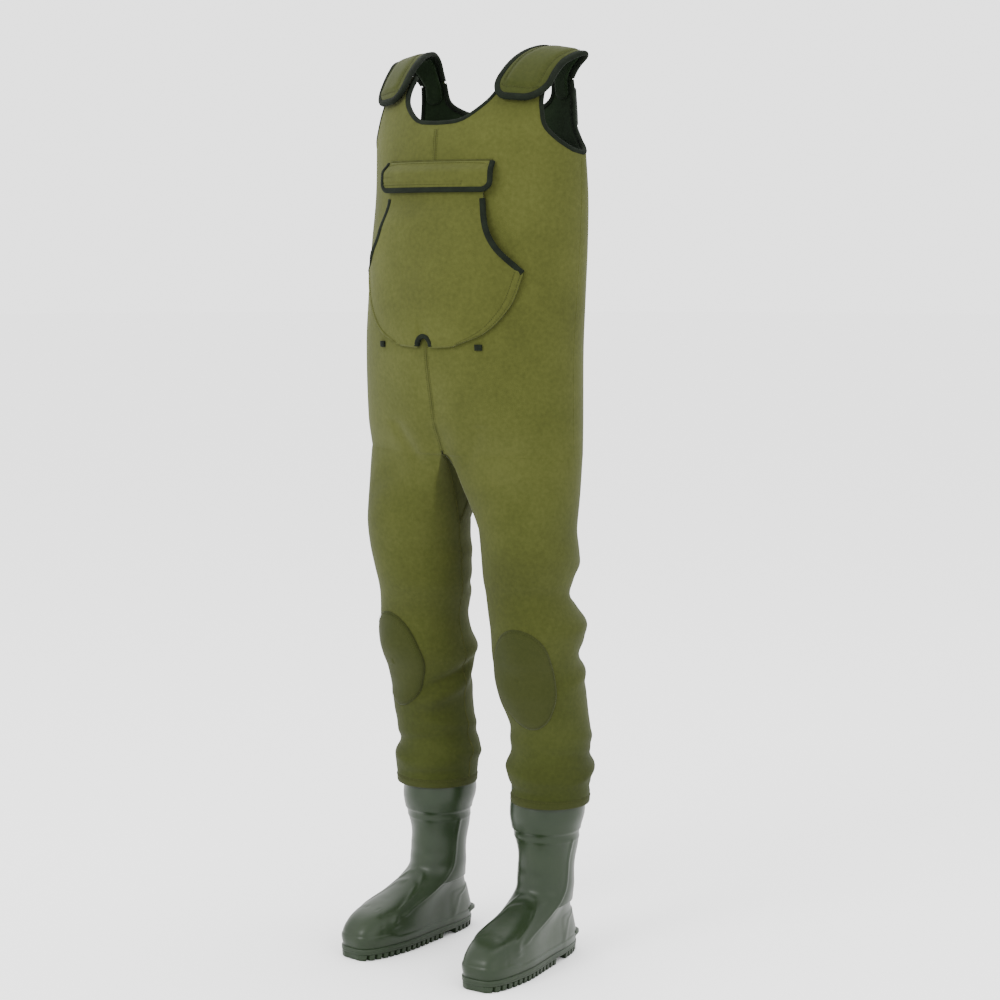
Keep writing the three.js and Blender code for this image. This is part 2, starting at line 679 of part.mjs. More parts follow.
function pouch() {
  const columns = 10;
  const grid = sheet(columns, pouchSide.length - 1, (i, j, face) => {
    const across = Math.sin((2 * i / columns - 1) * Math.PI / 2);
    const [x, down] = pouchPlace(across, j, 0);
    return chest(x, down, pouchLift(across, j) + (face ? POUCH_WALL : 0));
  });
  const cutter = new THREE.CylinderGeometry(NOTCH_HALF_WIDTH, NOTCH_HALF_WIDTH, 80, 16);
  cutter.scale(1, 1, NOTCH_HEIGHT / NOTCH_HALF_WIDTH);
  cutter.translate(0, chest(0, POUCH_BOTTOM, 0).y, SHOULDER - POUCH_BOTTOM);
  return fromSolid(solid(grid).subtract(solid(cutter)));
}

add('pocket_pouch', pouch(), olive);

// The fleece that lies on the chest inside the pocket, from the foot of the flap to above the notch.
function pocketLining() {
  const columns = 8;
  const first = 1;
  const margin = 14;
  const shorten = 1 - (NOTCH_HEIGHT + 8) / (POUCH_BOTTOM - POUCH_TOP);
  return sheet(columns, pouchSide.length - 1 - first, (i, j, face) => {
    const [x, down] = pouchPlace(2 * i / columns - 1, j + first, margin);
    return chest(x, lerp(POUCH_TOP, down, shorten), LAY + (face ? LINING_SKIN : 0));
  });
}

add('pocket_lining', pocketLining(), liningGreen);

function handBinding() {
  const rows = handEdge.length - 1;
  const frames = handEdge.map(([x, down], j) => {
    const shell = (a, b, offset) => chest(a, b, pouchLift(1, j) + offset);
    const next = handEdge[Math.min(rows, j + 1)];
    const last = handEdge[Math.max(0, j - 1)];
    const point = shell(x, down, 0);
    const normal = shell(x, down, 1).sub(point).normalize();
    const along = chest(...next, 0).sub(chest(...last, 0)).normalize();
    const edge = along.cross(normal).normalize();
    if (edge.x < 0) edge.negate();
    return { point, edge, normal };
  });
  return sweep(frames.slice(1, rows), bindingSection(0, POUCH_WALL));
}

addPair('pocket_hand_binding', handBinding(), bindingGreen);

// The tape round the notch that the front seam runs into, lying just outside the cut.
function notchBinding() {
  const steps = 10;
  const rim = Array.from({ length: steps + 1 }, (_, i) => Math.PI * i / steps);
  const at = (turn, grow, offset) => chest(
    (NOTCH_HALF_WIDTH - grow) * Math.cos(turn),
    POUCH_BOTTOM - 4 - (NOTCH_HEIGHT - 4 - grow) * Math.sin(turn),
    offset,
  );
  return sheet(steps, 1, (i, j, face) => at(rim[i], j ? 2 : 6, face ? SEWN_LIFT + POUCH_WALL + 1 : LAY));
}

add('pocket_notch_binding', notchBinding(), bindingGreen);

// Tack tabs hang from the pouch's lower edge.
function tackTab() {
  const half = 6;
  const length = 9;
  const below = POUCH_BOTTOM + 2;
  return sheet(2, 1, (i, j, face) => chest(
    TAB_PLACE + half * (i - 1),
    below - length * j,
    LAY + (face ? 2.4 : 0),
  ));
}

// Inside face of the flap over the chest, for a distance below its sewn top edge.
const LOOP_SKIN = 0.8;
const LOOP_LIFT = POUCH_TOP_LIFT + POUCH_WALL + 2 * GAP;
const FLAP_LIFT = LOOP_LIFT + 2 * LOOP_SKIN + 4 * GAP;
const flapLift = (below) => lerp(LAY, FLAP_LIFT + GAP, smooth(below, 0, FLAP_RISE));

const FLAP_CORNER = 14;

function flapHalf(below) {
  const past = Math.max(0, below - (FLAP_LENGTH - FLAP_CORNER));
  return FLAP_HALF_WIDTH - FLAP_CORNER + Math.sqrt(Math.max(0, FLAP_CORNER ** 2 - past ** 2));
}

const flapRows = [0, 0.14, 0.28, 0.42, 0.68, 0.82, 0.92, 0.98, 1].map((share) => share * FLAP_LENGTH);
const flapPoint = (x, below, offset) => chest(x, FLAP_TOP + below, flapLift(below) + offset);

function pocketFlap() {
  const columns = 10;
  return sheet(columns, flapRows.length - 1, (i, j, face) => {
    const half = flapHalf(flapRows[j]);
    return flapPoint((2 * i / columns - 1) * half, flapRows[j], face ? FLAP_WALL : 0);
  });
}

function flapBinding() {
  const down = flapRows.slice(1).map((below) => [flapHalf(below), below]);
  const low = [0.66, 0.33, 0].map((share) => [share * flapHalf(FLAP_LENGTH), FLAP_LENGTH]);
  const half = [...down, ...low];
  const whole = [...half, ...half.slice(0, -1).reverse().map(([x, below]) => [-x, below])];
  const inside = whole.map(([x]) => [x * 0.8, FLAP_LENGTH / 2]);
  return sweep(edgeFrames(flapPoint, whole, inside), bindingSection(0, FLAP_WALL));
}

function flapTape() {
  const from = FLAP_LENGTH - BINDING_FLANGE - 13;
  return sheet(8, 1, (i, j, face) => flapPoint(
    lerp(-0.72, 0.72, i / 8) * FLAP_HALF_WIDTH, from + 11 * j, -2 * GAP - (face ? 0 : LOOP_SKIN),
  ));
}

function pouchTape() {
  const from = POUCH_TOP + 2;
  return sheet(8, 1, (i, j, face) => chest(
    lerp(-0.7, 0.7, i / 8) * FLAP_HALF_WIDTH, from + 9 * j, LOOP_LIFT + (face ? LOOP_SKIN : 0),
  ));
}

addPair('pocket_tack_tab', tackTab(), bindingGreen);
add('pocket_flap', pocketFlap(), olive);
add('pocket_flap_binding', flapBinding(), bindingGreen);
add('pocket_flap_hook_tape', flapTape(), hookBlack);
add('pocket_loop_tape', pouchTape(), hookBlack);

// ---- pelvis and legs ----------------------------------------------------------------------------

const HIP_SEAM_SHARE = 0.0006;

function hipPanel() {
  const rows = [
    HIP_LINE - GAP / 2,
    CROTCH + 18,
    CROTCH,
    CROTCH - 8,
    CROTCH - 30,
    CROTCH - 70,
    THIGH_TOP + GAP / 2,
  ];
  return sheet(12, rows.length - 1, (i, j, face) => hipShell(
    lerp(HIP_SEAM_SHARE, 1 - HIP_SEAM_SHARE, i / 12), rows[j], face ? 0 : -WALL,
  ));
}

function crotchGusset() {
  const edge = 0.985;
  const clear = 0.06;
  return sheet(12, 6, (i, j, face) => gussetShell(
    lerp(-edge, edge, i / 12) || 1e-6, lerp(clear, 1 - clear, j / 6), face ? 0 : -WALL,
  ));
}

function legTube(levels, low, high) {
  return sheet(RING_STEPS, levels.length - 1, (i, j, face) => legShell(
    360 * i / RING_STEPS, levels[j], face ? high : low,
  ), true);
}

const between = (from, to, steps) => Array.from({ length: steps + 1 }, (_, k) => lerp(from, to, k / steps));

function kneePad() {
  const steps = 6;
  const perDegree = legSection(KNEE).radius * RAD;
  return sheet(steps, steps, (i, j, face) => {
    const [f, g] = [2 * i / steps - 1, 2 * j / steps - 1];
    const across = f * Math.sqrt(1 - g * g / 2) * PAD_HALF_WIDTH;
    const up = g * Math.sqrt(1 - f * f / 2) * PAD_HALF_HEIGHT;
    return legShell(PAD_TURN + across / perDegree, KNEE - 10 + up, LAY + (face ? PAD_THICKNESS : 0));
  });
}

addPair('hip_panel', hipPanel(), olive);
add('crotch_gusset', crotchGusset(), darkOlive);
addPair('thigh_sleeve', legTube(between(KNEE_TOP + GAP / 2, THIGH_TOP - GAP / 2, 3), -WALL, 0), olive);
addPair('knee_sleeve', legTube(between(KNEE_BOTTOM + GAP / 2, KNEE_TOP - GAP / 2, 4), -WALL, 0), olive);
addPair('knee_pad', kneePad(), darkOlive);
addPair('lower_leg_sleeve', legTube(between(HEM_HEIGHT, KNEE_BOTTOM - GAP / 2, 4), -WALL, 0), olive);
const hemRows = [HEM_HEIGHT + 1, HEM_HEIGHT + 1 + HEM_TAPE_WIDTH];
addPair('hem_tape', legTube(hemRows, LAY / 2, LAY / 2 + 1.2), darkOlive);

// ---- boots --------------------------------------------------------------------------------------

// The boot is drawn about its ankle axis, toe along -Y, then turned outward and moved under the leg.
// Rows: share of the shaft's height above the sole, back, front, half width, squareness of the outline.
const shaftBack = (shift) => BOOT_SHAFT_RADIUS - shift;
const BOOT_SECTIONS = [
  [0.00, HEEL_REACH - 3, -TOE_REACH + 6, FOOT_HALF_WIDTH - 2, 0.55],
  [0.06, HEEL_REACH - 2, -TOE_REACH + 4, FOOT_HALF_WIDTH, 0.55],
  [0.12, HEEL_REACH - 5, -TOE_REACH + 10, FOOT_HALF_WIDTH - 1, 0.58],
  [0.18, HEEL_REACH - 8, -TOE_REACH + 32, FOOT_HALF_WIDTH - 2, 0.66],
  [0.24, HEEL_REACH - 12, -TOE_REACH + 78, FOOT_HALF_WIDTH - 3, 0.8],
  [0.30, HEEL_REACH - 14, -92, 45, 0.92],
  [0.36, HEEL_REACH - 15, -60, 45, 1],
  [0.44, HEEL_REACH - 15, -48, 45, 1],
  [0.58, shaftBack(8), -shaftBack(12), shaftBack(11), 1],
  [0.78, shaftBack(2), -shaftBack(5), shaftBack(4), 1],
  [0.90, shaftBack(0) + 4, -shaftBack(0) + 4, shaftBack(0), 1],
  [1.00, shaftBack(0) + 4, -shaftBack(0) + 4, shaftBack(0), 1],
];

function bootSection(z) {
  return sample(BOOT_SECTIONS, (z - SOLE_THICKNESS) / (BOOT_TOP - SOLE_THICKNESS));
}

// A point of the boot's outline at a level, moved in by an inset. turn: 0 at the toe, going outward.
function bootPoint(turn, z, inset) {
  const [back, front, half, square] = bootSection(z);
  const [b, f, w] = [back - inset, front + inset, half - inset];
  const [s, c] = [Math.sin(turn), Math.cos(turn)];
  const middle = (b + f) / 2;
  const y = middle - (b - f) / 2 * Math.sign(c) * Math.abs(c) ** lerp(square, 1, 0.6);
  const ballShare = (b - y) / (b - f);
  const waist = square < 0.9 ? 0.86 + 0.14 * smooth(ballShare, 0.35, 0.7) : 1;
  return V(w * waist * Math.sign(s) * Math.abs(s) ** square, y, z);
}

const OUTLINE_STEPS = 24;
const bootOutline = (z, inset) => Array.from({ length: OUTLINE_STEPS }, (_, i) => {
  const p = bootPoint(2 * Math.PI * i / OUTLINE_STEPS, z, inset);
  return [p.x, p.y];
});

// A closed cup: outside up from the floor, over the rim and down the inside.
function cup(levels, floor, inset, wall, steps) {
  const turns = Array.from({ length: steps }, (_, i) => 2 * Math.PI * i / steps);
  const ring = (z, depth) => turns.map((turn) => bootPoint(turn, z, depth));
  const inner = levels.filter((z) => z > levels[0] + floor);
  const rings = [
    ...levels.map((z) => ring(z, inset)),
    ...[...inner].reverse().map((z) => ring(z, inset + wall)),
    ring(levels[0] + floor, inset + wall).map((p) => p.setZ(levels[0] + floor)),
  ];
  const points = rings.flat();
  const triangles = [];
  for (let j = 0; j + 1 < rings.length; j++) {
    for (let i = 0; i < steps; i++) {
      const [a, b] = [j * steps + i, j * steps + (i + 1) % steps];
      triangles.push(a, b, b + steps, a, b + steps, a + steps);
    }
  }
  for (const [k, turn] of [[0, false], [rings.length - 1, true]]) {
    const centre = points.length;
    const middle = rings[k].reduce((sum, p) => sum.add(p), V(0, 0, 0)).divideScalar(steps);
    points.push(middle);
    for (let i = 0; i < steps; i++) {
      const [a, b] = [k * steps + i, k * steps + (i + 1) % steps];
      if (turn) triangles.push(a, b, centre);
      else triangles.push(b, a, centre);
    }
  }
  return body(points, triangles);
}

const bootLevel = (share) => lerp(SOLE_THICKNESS, BOOT_TOP, share);
const upperLevels = [0, 0.06, 0.14, 0.22, 0.3, 0.4, 0.55, 0.75, 1].map(bootLevel);
const LINER_CLEARANCE = 2.9;

function bootSole() {
  const plate = solid(prism(bootOutline(SOLE_THICKNESS, -WELT), TREAD_DEPTH, SOLE_THICKNESS - GAP));
  const tread = solid(prism(bootOutline(SOLE_THICKNESS, -WELT), 0, TREAD_DEPTH + 1));
  const pitch = 17;
  const bars = [];
  const front = -TOE_REACH;
  const back = HEEL_REACH - HEEL_LENGTH - 22;
  for (let y = front; y < back; y += pitch) {
    const bar = new THREE.BoxGeometry(3 * FOOT_HALF_WIDTH, pitch - 5, 2 * TREAD_DEPTH);
    bar.translate(0, y + pitch / 2 - 3, TREAD_DEPTH);
    bars.push(solid(bar));
  }
  return fromSolid(bars.reduce((sole, bar) => sole.add(tread.intersect(bar)), plate));
}

// The heel block stands under the sole plate, with notches between its lugs round the back.
function bootHeel() {
  const top = TREAD_DEPTH - GAP;
  const outline = bootOutline(SOLE_THICKNESS, -WELT);
  const whole = solid(prism(outline, 0, top));
  const front = HEEL_REACH - HEEL_LENGTH;
  const keep = new THREE.BoxGeometry(4 * FOOT_HALF_WIDTH, HEEL_LENGTH + 40, 4 * top);
  keep.translate(0, front + (HEEL_LENGTH + 40) / 2, 0);
  let heel = whole.intersect(solid(keep));
  for (const side of [-1, 1]) {
    for (const k of [0, 1, 2]) {
      const notch = new THREE.BoxGeometry(16, 5, 2 * top - 4);
      notch.translate(side * (FOOT_HALF_WIDTH - 3), front + 13 + 17 * k, 0);
      heel = heel.subtract(solid(notch));
    }
  }
  return fromSolid(heel);
}

// The ledge at the back of the heel that the other foot holds down to pull the boot off.
function heelSpur() {
  const z = SOLE_THICKNESS + 6;
  const turns = between(Math.PI - 0.62, Math.PI + 0.62, 6);
  const reach = (share) => 1.5 + 8 * Math.sin(Math.PI * share);
  return sheet(6, 1, (i, j, face) => bootPoint(turns[i], z, -LINER_CLEARANCE - (face ? reach(i / 6) : 0))
    .setZ(z + 6 * j + (face ? 1 : 0)));
}

function insole() {
  const inset = BOOT_WALL + LINER_CLEARANCE + LINER_SKIN + 2 * LAY;
  const z = SOLE_THICKNESS + BOOT_WALL + LINER_SKIN + 3 * GAP;
  return prism(bootOutline(SOLE_THICKNESS, inset), z, z + INSOLE_THICKNESS);
}

function liner() {
  const floor = SOLE_THICKNESS + BOOT_WALL + GAP;
  const inside = upperLevels.filter((z) => z > floor);
  const levels = [floor, ...inside.slice(0, -1), BOOT_TOP - 8];
  return cup(levels, LINER_SKIN, BOOT_WALL + LINER_CLEARANCE, LINER_SKIN, BOOT_STEPS);
}

const bootPieces = [
  ['boot_upper', cup(upperLevels, BOOT_WALL, 0, BOOT_WALL, BOOT_STEPS), bootGreen],
  ['boot_liner', liner(), liningGreen],
  ['insole', insole(), hookBlack],
  ['boot_sole', bootSole(), soleGreen],
  ['heel_block', bootHeel(), soleGreen],
  ['heel_spur', heelSpur(), soleGreen],
];

for (const [side, sign] of [['left', 1], ['right', -1]]) {
  const boot = new THREE.Group();
  boot.position.set(sign * LEG_SPACING, ANKLE_SHIFT, 0);
  boot.rotation.z = sign * FOOT_SPLAY * RAD;
  waders.add(boot);
  for (const [name, geometry, finish] of bootPieces) {
    add(`${name}_${side}`, sign > 0 ? geometry.clone() : mirrored(geometry), finish, boot);
  }
}

// ---- origin -------------------------------------------------------------------------------------

waders.updateMatrixWorld(true);
const box = new THREE.Box3().setFromObject(waders, true);
waders.position.y = -(box.min.y + box.max.y) / 2;
waders.updateMatrixWorld(true);

export default waders;
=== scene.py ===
"""Neoprene chest waders with moulded boots. Working numbers are millimetres; meshes are made in metres."""
import json
import math

import bpy
import numpy as np
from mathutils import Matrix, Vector


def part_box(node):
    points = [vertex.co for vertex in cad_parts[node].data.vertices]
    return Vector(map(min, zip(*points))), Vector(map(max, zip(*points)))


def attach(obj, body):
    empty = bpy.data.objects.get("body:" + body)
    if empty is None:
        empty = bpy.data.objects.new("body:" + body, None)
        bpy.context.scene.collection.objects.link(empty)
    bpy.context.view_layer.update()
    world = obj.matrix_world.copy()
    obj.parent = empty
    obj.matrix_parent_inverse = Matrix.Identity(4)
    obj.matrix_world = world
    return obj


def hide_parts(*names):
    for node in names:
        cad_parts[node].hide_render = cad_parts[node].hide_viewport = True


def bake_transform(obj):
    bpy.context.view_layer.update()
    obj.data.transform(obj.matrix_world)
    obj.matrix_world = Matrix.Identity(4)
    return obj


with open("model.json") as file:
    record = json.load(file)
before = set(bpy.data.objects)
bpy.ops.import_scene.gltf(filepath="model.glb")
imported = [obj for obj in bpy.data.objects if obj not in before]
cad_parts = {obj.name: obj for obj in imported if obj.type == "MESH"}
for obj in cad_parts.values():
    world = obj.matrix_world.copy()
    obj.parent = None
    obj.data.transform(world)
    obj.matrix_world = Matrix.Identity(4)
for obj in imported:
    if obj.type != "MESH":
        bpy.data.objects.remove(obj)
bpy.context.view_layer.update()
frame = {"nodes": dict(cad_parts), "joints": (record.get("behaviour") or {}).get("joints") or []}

scene = bpy.context.scene

# ---- camera ------------------------------------------------------------------------------------

camera_data = bpy.data.cameras.new("camera")
camera_data.sensor_width = 36
camera_data.lens = 78.8
camera = bpy.data.objects.new("camera", camera_data)
scene.collection.objects.link(camera)
camera.location = (2.1309, -2.7060, 1.1568)
camera.rotation_euler = (math.radians(90 - 6.9), 0, math.radians(37.3))
scene.camera = camera

# ---- sizes of the garment, as the frame has them -----------------------------------------------

BOOT_TOP, HEM_HEIGHT, CROTCH, SHOULDER = 282, 258, 818, 1300
HIP_LINE, THIGH_TOP = CROTCH + 52, CROTCH - 116
SHOULDER_RISE, SHOULDER_ARC = 134, 110
RIDGE = SHOULDER + SHOULDER_ARC * math.pi / 2
TORSO_HALF_WIDTH, SHOULDER_HALF_WIDTH, LEG_SPACING = 198, 194, 111
RIDGE_SHIFT, SHOULDER_SLOPE, SLOPE_START = 17, 0.17, 110
VALLEY_TOP, VALLEY_MIDDLE, VALLEY_LOW = 985, 880, 828
WALL = 5.0
hem_low, hem_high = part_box("hem_tape_left")
SHIFT = (hem_low.y + hem_high.y) / 2 * 1000 - 31      # the body's own middle plane stands behind the frame's
STRAP_SEAM, STRAP_END, EAR_TOP = 92, 50, 98
FLAP_TOP, FLAP_LENGTH, FLAP_HALF_WIDTH = 32, 45, 101
POUCH_TOP, POUCH_TIP, POUCH_BOTTOM = 60, 200, 315
SOLE_THICKNESS, HEEL_REACH, TOE_REACH = 19, 62, 212
FOOT_SPLAY, ANKLE_SHIFT = 4.2, 27


# ---- small mathematics -------------------------------------------------------------------------

def smooth(x, a, b):
    t = np.clip((np.asarray(x, float) - a) / (b - a), 0, 1)
    return t * t * (3 - 2 * t)


def lerp(a, b, t):
    return a + (b - a) * t


def curve(rows):
    """A smooth curve through rows of [place, values]; the result gives the values at an array of places."""
    rows = np.array(rows, float)
    xs, ys = rows[:, 0], rows[:, 1:]
    slopes = np.empty_like(ys)
    slopes[1:-1] = (ys[2:] - ys[:-2]) / (xs[2:] - xs[:-2])[:, None]
    slopes[0], slopes[-1] = (ys[1] - ys[0]) / (xs[1] - xs[0]), (ys[-1] - ys[-2]) / (xs[-1] - xs[-2])

    def at(x):
        x = np.clip(np.asarray(x, float), xs[0], xs[-1])
        k = np.clip(np.searchsorted(xs, x, side="right") - 1, 0, len(xs) - 2)
        span = xs[k + 1] - xs[k]
        t = ((x - xs[k]) / span)[..., None]
        s = span[..., None]
        h = (2 * t**3 - 3 * t**2 + 1) * ys[k] + (t**3 - 2 * t**2 + t) * s * slopes[k]
        return h + (3 * t**2 - 2 * t**3) * ys[k + 1] + (t**3 - t**2) * s * slopes[k + 1]
    return at


def even(points, steps):
    """Evenly spaced points of a smooth curve through given points."""
    p = np.array(points, float)
    q = np.vstack([2 * p[0] - p[1], p, 2 * p[-1] - p[-2]])
    t = np.linspace(0, 1, 40, endpoint=False)[:, None]
    parts = []
    for a, b, c, d in zip(q[:-3], q[1:-2], q[2:-1], q[3:]):
        parts.append(0.5 * (2 * b + (c - a) * t + (2 * a - 5 * b + 4 * c - d) * t**2
                            + (3 * b - a - 3 * c + d) * t**3))
    return respace(np.vstack(parts + [p[-1:]]), steps)


def respace(points, steps):
    points = np.asarray(points, float)
    run = np.concatenate([[0], np.cumsum(np.linalg.norm(np.diff(points, axis=0), axis=1))])
    to = np.linspace(0, run[-1], steps + 1)
    return np.stack([np.interp(to, run, points[:, k]) for k in range(points.shape[1])], 1)


def unit(v):
    return v / np.maximum(np.linalg.norm(v, axis=-1, keepdims=True), 1e-9)


# ---- the body's surfaces -----------------------------------------------------------------------

torso_section = curve([
    [0.00, 0, -108, 88, -18], [0.10, 1, -124, 92, -21], [0.34, 0, -138, 92, -19], [0.50, 0, -134, 92, -12],
    [0.67, -1, -127, 94, -3], [0.83, -4, -120, 90, 6], [1.00, -4, -113, 58, 5]])


def torso(angle, height):
    """Outer face of the torso. angle: 0 front, 90 the wearer's left, 180 back. height is along the cloth."""
    angle, height = np.broadcast_arrays(np.asarray(angle, float), np.asarray(height, float))
    u = np.radians(angle)
    section = torso_section(np.minimum(1, (height - CROTCH) / (SHOULDER - CROTCH)))
    extra, front, back, side = (section[..., k] for k in range(4))
    x = (TORSO_HALF_WIDTH + extra) * np.sin(u)
    depth = np.where(np.cos(u) > 0, side - front, back - side)
    phi = np.maximum(0, height - SHOULDER) / SHOULDER_ARC
    rise = SHOULDER_RISE - SHOULDER_SLOPE * np.maximum(0, np.abs(x) - SLOPE_START)
    y = side + RIDGE_SHIFT * np.sin(phi) - depth * np.cos(u) * np.cos(phi)
    z = np.minimum(height, SHOULDER) + rise * np.sin(phi)
    return np.stack([x, y, z], -1)


# Each leg: height, middle outward, middle fore and aft, radius of the wearer's left leg and of the right.
# Most rows come from a measuring program's output, rounded and nudged by hand.
leg_section = curve([
    [200, 116, 31, 62, 65], [262, 116, 30, 63, 66], [280, 117, 31, 64, 68], [300, 115, 29, 67, 69],
    [320, 113, 34, 68, 66], [340, 117, 31, 64, 65], [360, 117, 28, 64, 65], [380, 119, 26, 64, 66],
    [400, 117, 21, 66, 66], [420, 113, 17, 69, 65], [440, 112, 12, 71, 65], [460, 109, 9, 71, 69],
    [480, 109, 5, 70, 74], [500, 111, 0, 71, 75], [540, 115, -3, 75, 72], [560, 112, -5, 74, 73],
    [580, 107, -9, 70, 75], [600, 104, -14, 67, 77], [620, 106, -16, 71, 79], [660, 111, -18, 77, 82],
    [700, 110, -22, 77, 84], [760, 110, -22, 80, 83], [840, 110, -20, 82, 82]])

# Folds of each leg: height and angle at both ends, half width, and how far the cloth stands out.
FOLDS = {
    1: [(318, -80, 300, 70, 9, 2.6), (296, 60, 322, 170, 9, 3.4), (345, 20, 330, 150, 8, -2.4),
        (372, 60, 356, 190, 10, 2.6), (452, 60, 486, 170, 12, 4.0), (512, 95, 472, 215, 12, -3.2),
        (545, 70, 560, 190, 13, 3.2), (590, 110, 600, 215, 10, -2.6), (640, 100, 655, 200, 14, 2.6),
        (800, -30, 742, 60, 16, -4.5), (700, -50, 742, 20, 18, 2.0), (420, 130, 400, 240, 11, 2.6),
        (282, -60, 276, 40, 6, -1.6), (284, 90, 278, 200, 6, -1.8)],
    -1: [(300, -150, 325, -30, 9, 3.2), (352, -140, 372, -10, 10, 3.0), (338, -60, 330, 60, 8, -2.6),
         (392, -20, 452, -120, 12, 4.6), (415, -10, 478, -130, 9, -3.8), (480, -90, 500, -170, 14, 3.6),
         (300, 0, 318, 90, 9, 2.6), (430, 80, 446, 150, 10, 2.4), (590, -100, 604, -160, 11, -2.4),
         (282, -70, 276, 40, 6, -1.8), (640, -60, 655, -140, 14, 2.2), (800, -30, 745, 40, 16, -3.5)],
}


FOLD_DEPTH = 1.45      # how much deeper the folds are than their listed rise


def fold_out(side, angle, z):
    """How far the folds push a leg's face out at an angle and a height."""
    out = np.zeros(np.broadcast(angle, z).shape)
    for z0, a0, z1, a1, width, rise in FOLDS[side]:
        for turn in (-360, 0, 360):
            a = (angle + turn - a0) * 1.2
            b = z - z0
            da, db = (a1 - a0) * 1.2, z1 - z0
            length = math.hypot(da, db)
            along = (a * da + b * db) / length**2
            across = (b * da - a * db) / length
            ends = smooth(along, -0.1, 0.3) * (1 - smooth(along, 0.7, 1.1))
            out = out + FOLD_DEPTH * rise * ends * np.exp(-(across / width) ** 2)
    return out * smooth(z, 258, 272)


def leg(side, angle, z):
    angle, z = np.broadcast_arrays(np.asarray(angle, float), np.asarray(z, float))
    row = leg_section(z)
    radius = (row[..., 2] if side > 0 else row[..., 3]) + fold_out(side, angle, z)
    psi = np.radians(angle)
    return np.stack([row[..., 0] + radius * np.sin(psi), row[..., 1] - radius * np.cos(psi), z], -1)


GROIN = 55


def ring(side, place, z):
    """A leg with its half of the pelvis.

    place: 0 front middle to 1 back middle round the outside, on to 2 inside.
    """
    place, z = np.broadcast_arrays(np.asarray(place, float), np.asarray(z, float))
    share = np.clip(place, 0, 1)
    above = torso(180 * share, np.maximum(z, CROTCH))
    above[..., 2] = z
    inner = place > 1
    front, back = torso(0, CROTCH)[1], torso(180, CROTCH)[1]
    line = np.stack([np.zeros_like(z), lerp(back, front, place - 1), z], -1)
    above = np.where(inner[..., None], line, above)
    angle = np.where(inner, lerp(180 + GROIN, 360 - GROIN, place - 1), lerp(-GROIN, 180 + GROIN, share))
    t = np.maximum(0, (CROTCH - z) / (CROTCH - THIGH_TOP)) ** 0.6
    point = lerp(above, leg(side, angle, np.minimum(z, CROTCH)), np.minimum(1, t)[..., None])
    point[..., 2] = z
    valley = 5 * smooth(z, VALLEY_TOP, VALLEY_MIDDLE) + 6 * smooth(z, VALLEY_MIDDLE, VALLEY_LOW)
    dip = valley * np.exp(-(point[..., 0] / 26) ** 2) * (place < 0.5) * smooth(z, CROTCH - 60, CROTCH)
    crease = 4.5 * np.exp(-((point[..., 0] - 62 - 0.55 * (z - 830)) / 15) ** 2)
    crease *= (place < 0.5) * smooth(z, 770, 830) * smooth(z, 925, 850)
    point[..., 1] += dip + crease
    return point


def shoulder(x, height):
    """The torso by its width and a height that counts on over the ridge and down the back."""
    angle = np.degrees(np.arcsin(np.clip(np.asarray(x, float) / SHOULDER_HALF_WIDTH, -1, 1)))
    height = np.asarray(height, float)
    back = height > RIDGE
    return torso(np.where(back, 180 - angle, angle), np.where(back, 2 * RIDGE - height, height))


def chest_face(x, down):
    section = torso_section((SHOULDER - np.asarray(down, float) - CROTCH) / (SHOULDER - CROTCH))
    angle = np.degrees(np.arcsin(np.clip(np.asarray(x, float) / (TORSO_HALF_WIDTH + section[..., 0]), -1, 1)))
    return torso(angle, SHOULDER - np.asarray(down, float))


def with_normal(surface, inside, step=0.4):
    """Gives a surface a third value, the distance out from it."""
    def place(a, b, out=0.0):
        a, b = np.asarray(a, float), np.asarray(b, float)
        point = surface(a, b)
        da, db = surface(a + step, b) - surface(a - step, b), surface(a, b + step) - surface(a, b - step)
        n = unit(np.cross(da, db))
        n = n * np.sign(np.sum(n * (point - inside(point)), -1, keepdims=True))
        return point + n * np.asarray(out, float)[..., None] if np.ndim(out) else point + n * out
    return place


def torso_middle(p):
    return np.stack([p[..., 0] * 0.5, p[..., 0] * 0, np.minimum(p[..., 2], SHOULDER) - 10], -1)


torso_at = with_normal(torso, torso_middle)
shoulder_at = with_normal(shoulder, torso_middle)
chest_at = with_normal(chest_face, torso_middle)


# ---- meshes ------------------------------------------------------------------------------------

def to_frame(points):
    points = np.asarray(points, float).reshape(-1, 3).copy()
    points[:, 1] += SHIFT
    return points / 1000


def make(name, points, faces, materials, pick=None, smoothed=True):
    """A piece from points in millimetres. pick gives each face's material number."""
    mesh = bpy.data.meshes.new(name)
    mesh.from_pydata(to_frame(points).tolist(), [], [list(map(int, f)) for f in faces])
    for m in materials if isinstance(materials, (list, tuple)) else [materials]:
        mesh.materials.append(m)
    if pick is not None:
        mesh.polygons.foreach_set("material_index", np.asarray(pick, np.int32))
    mesh.polygons.foreach_set("use_smooth", np.full(len(mesh.polygons), smoothed))
    mesh.update()
    piece = bpy.data.objects.new(name, mesh)
    scene.collection.objects.link(piece)
    return piece


def quads(rows, columns, closed=False):
    """Corner numbers of a grid of points with that many rows and columns of points."""
    j, i = np.meshgrid(np.arange(rows - 1), np.arange(columns if closed else columns - 1), indexing="ij")
    n = (i + 1) % columns
    near, far = j * columns, (j + 1) * columns
    return np.stack([near + i, near + n, far + n, far + i], -1).reshape(-1, 4)


def volume(points, faces):
    p = np.asarray(points)[np.asarray(faces)]
    return np.sum(p[:, 0] * np.cross(p[:, 1], p[:, 2])) + np.sum(p[:, 0] * np.cross(p[:, 2], p[:, 3]))


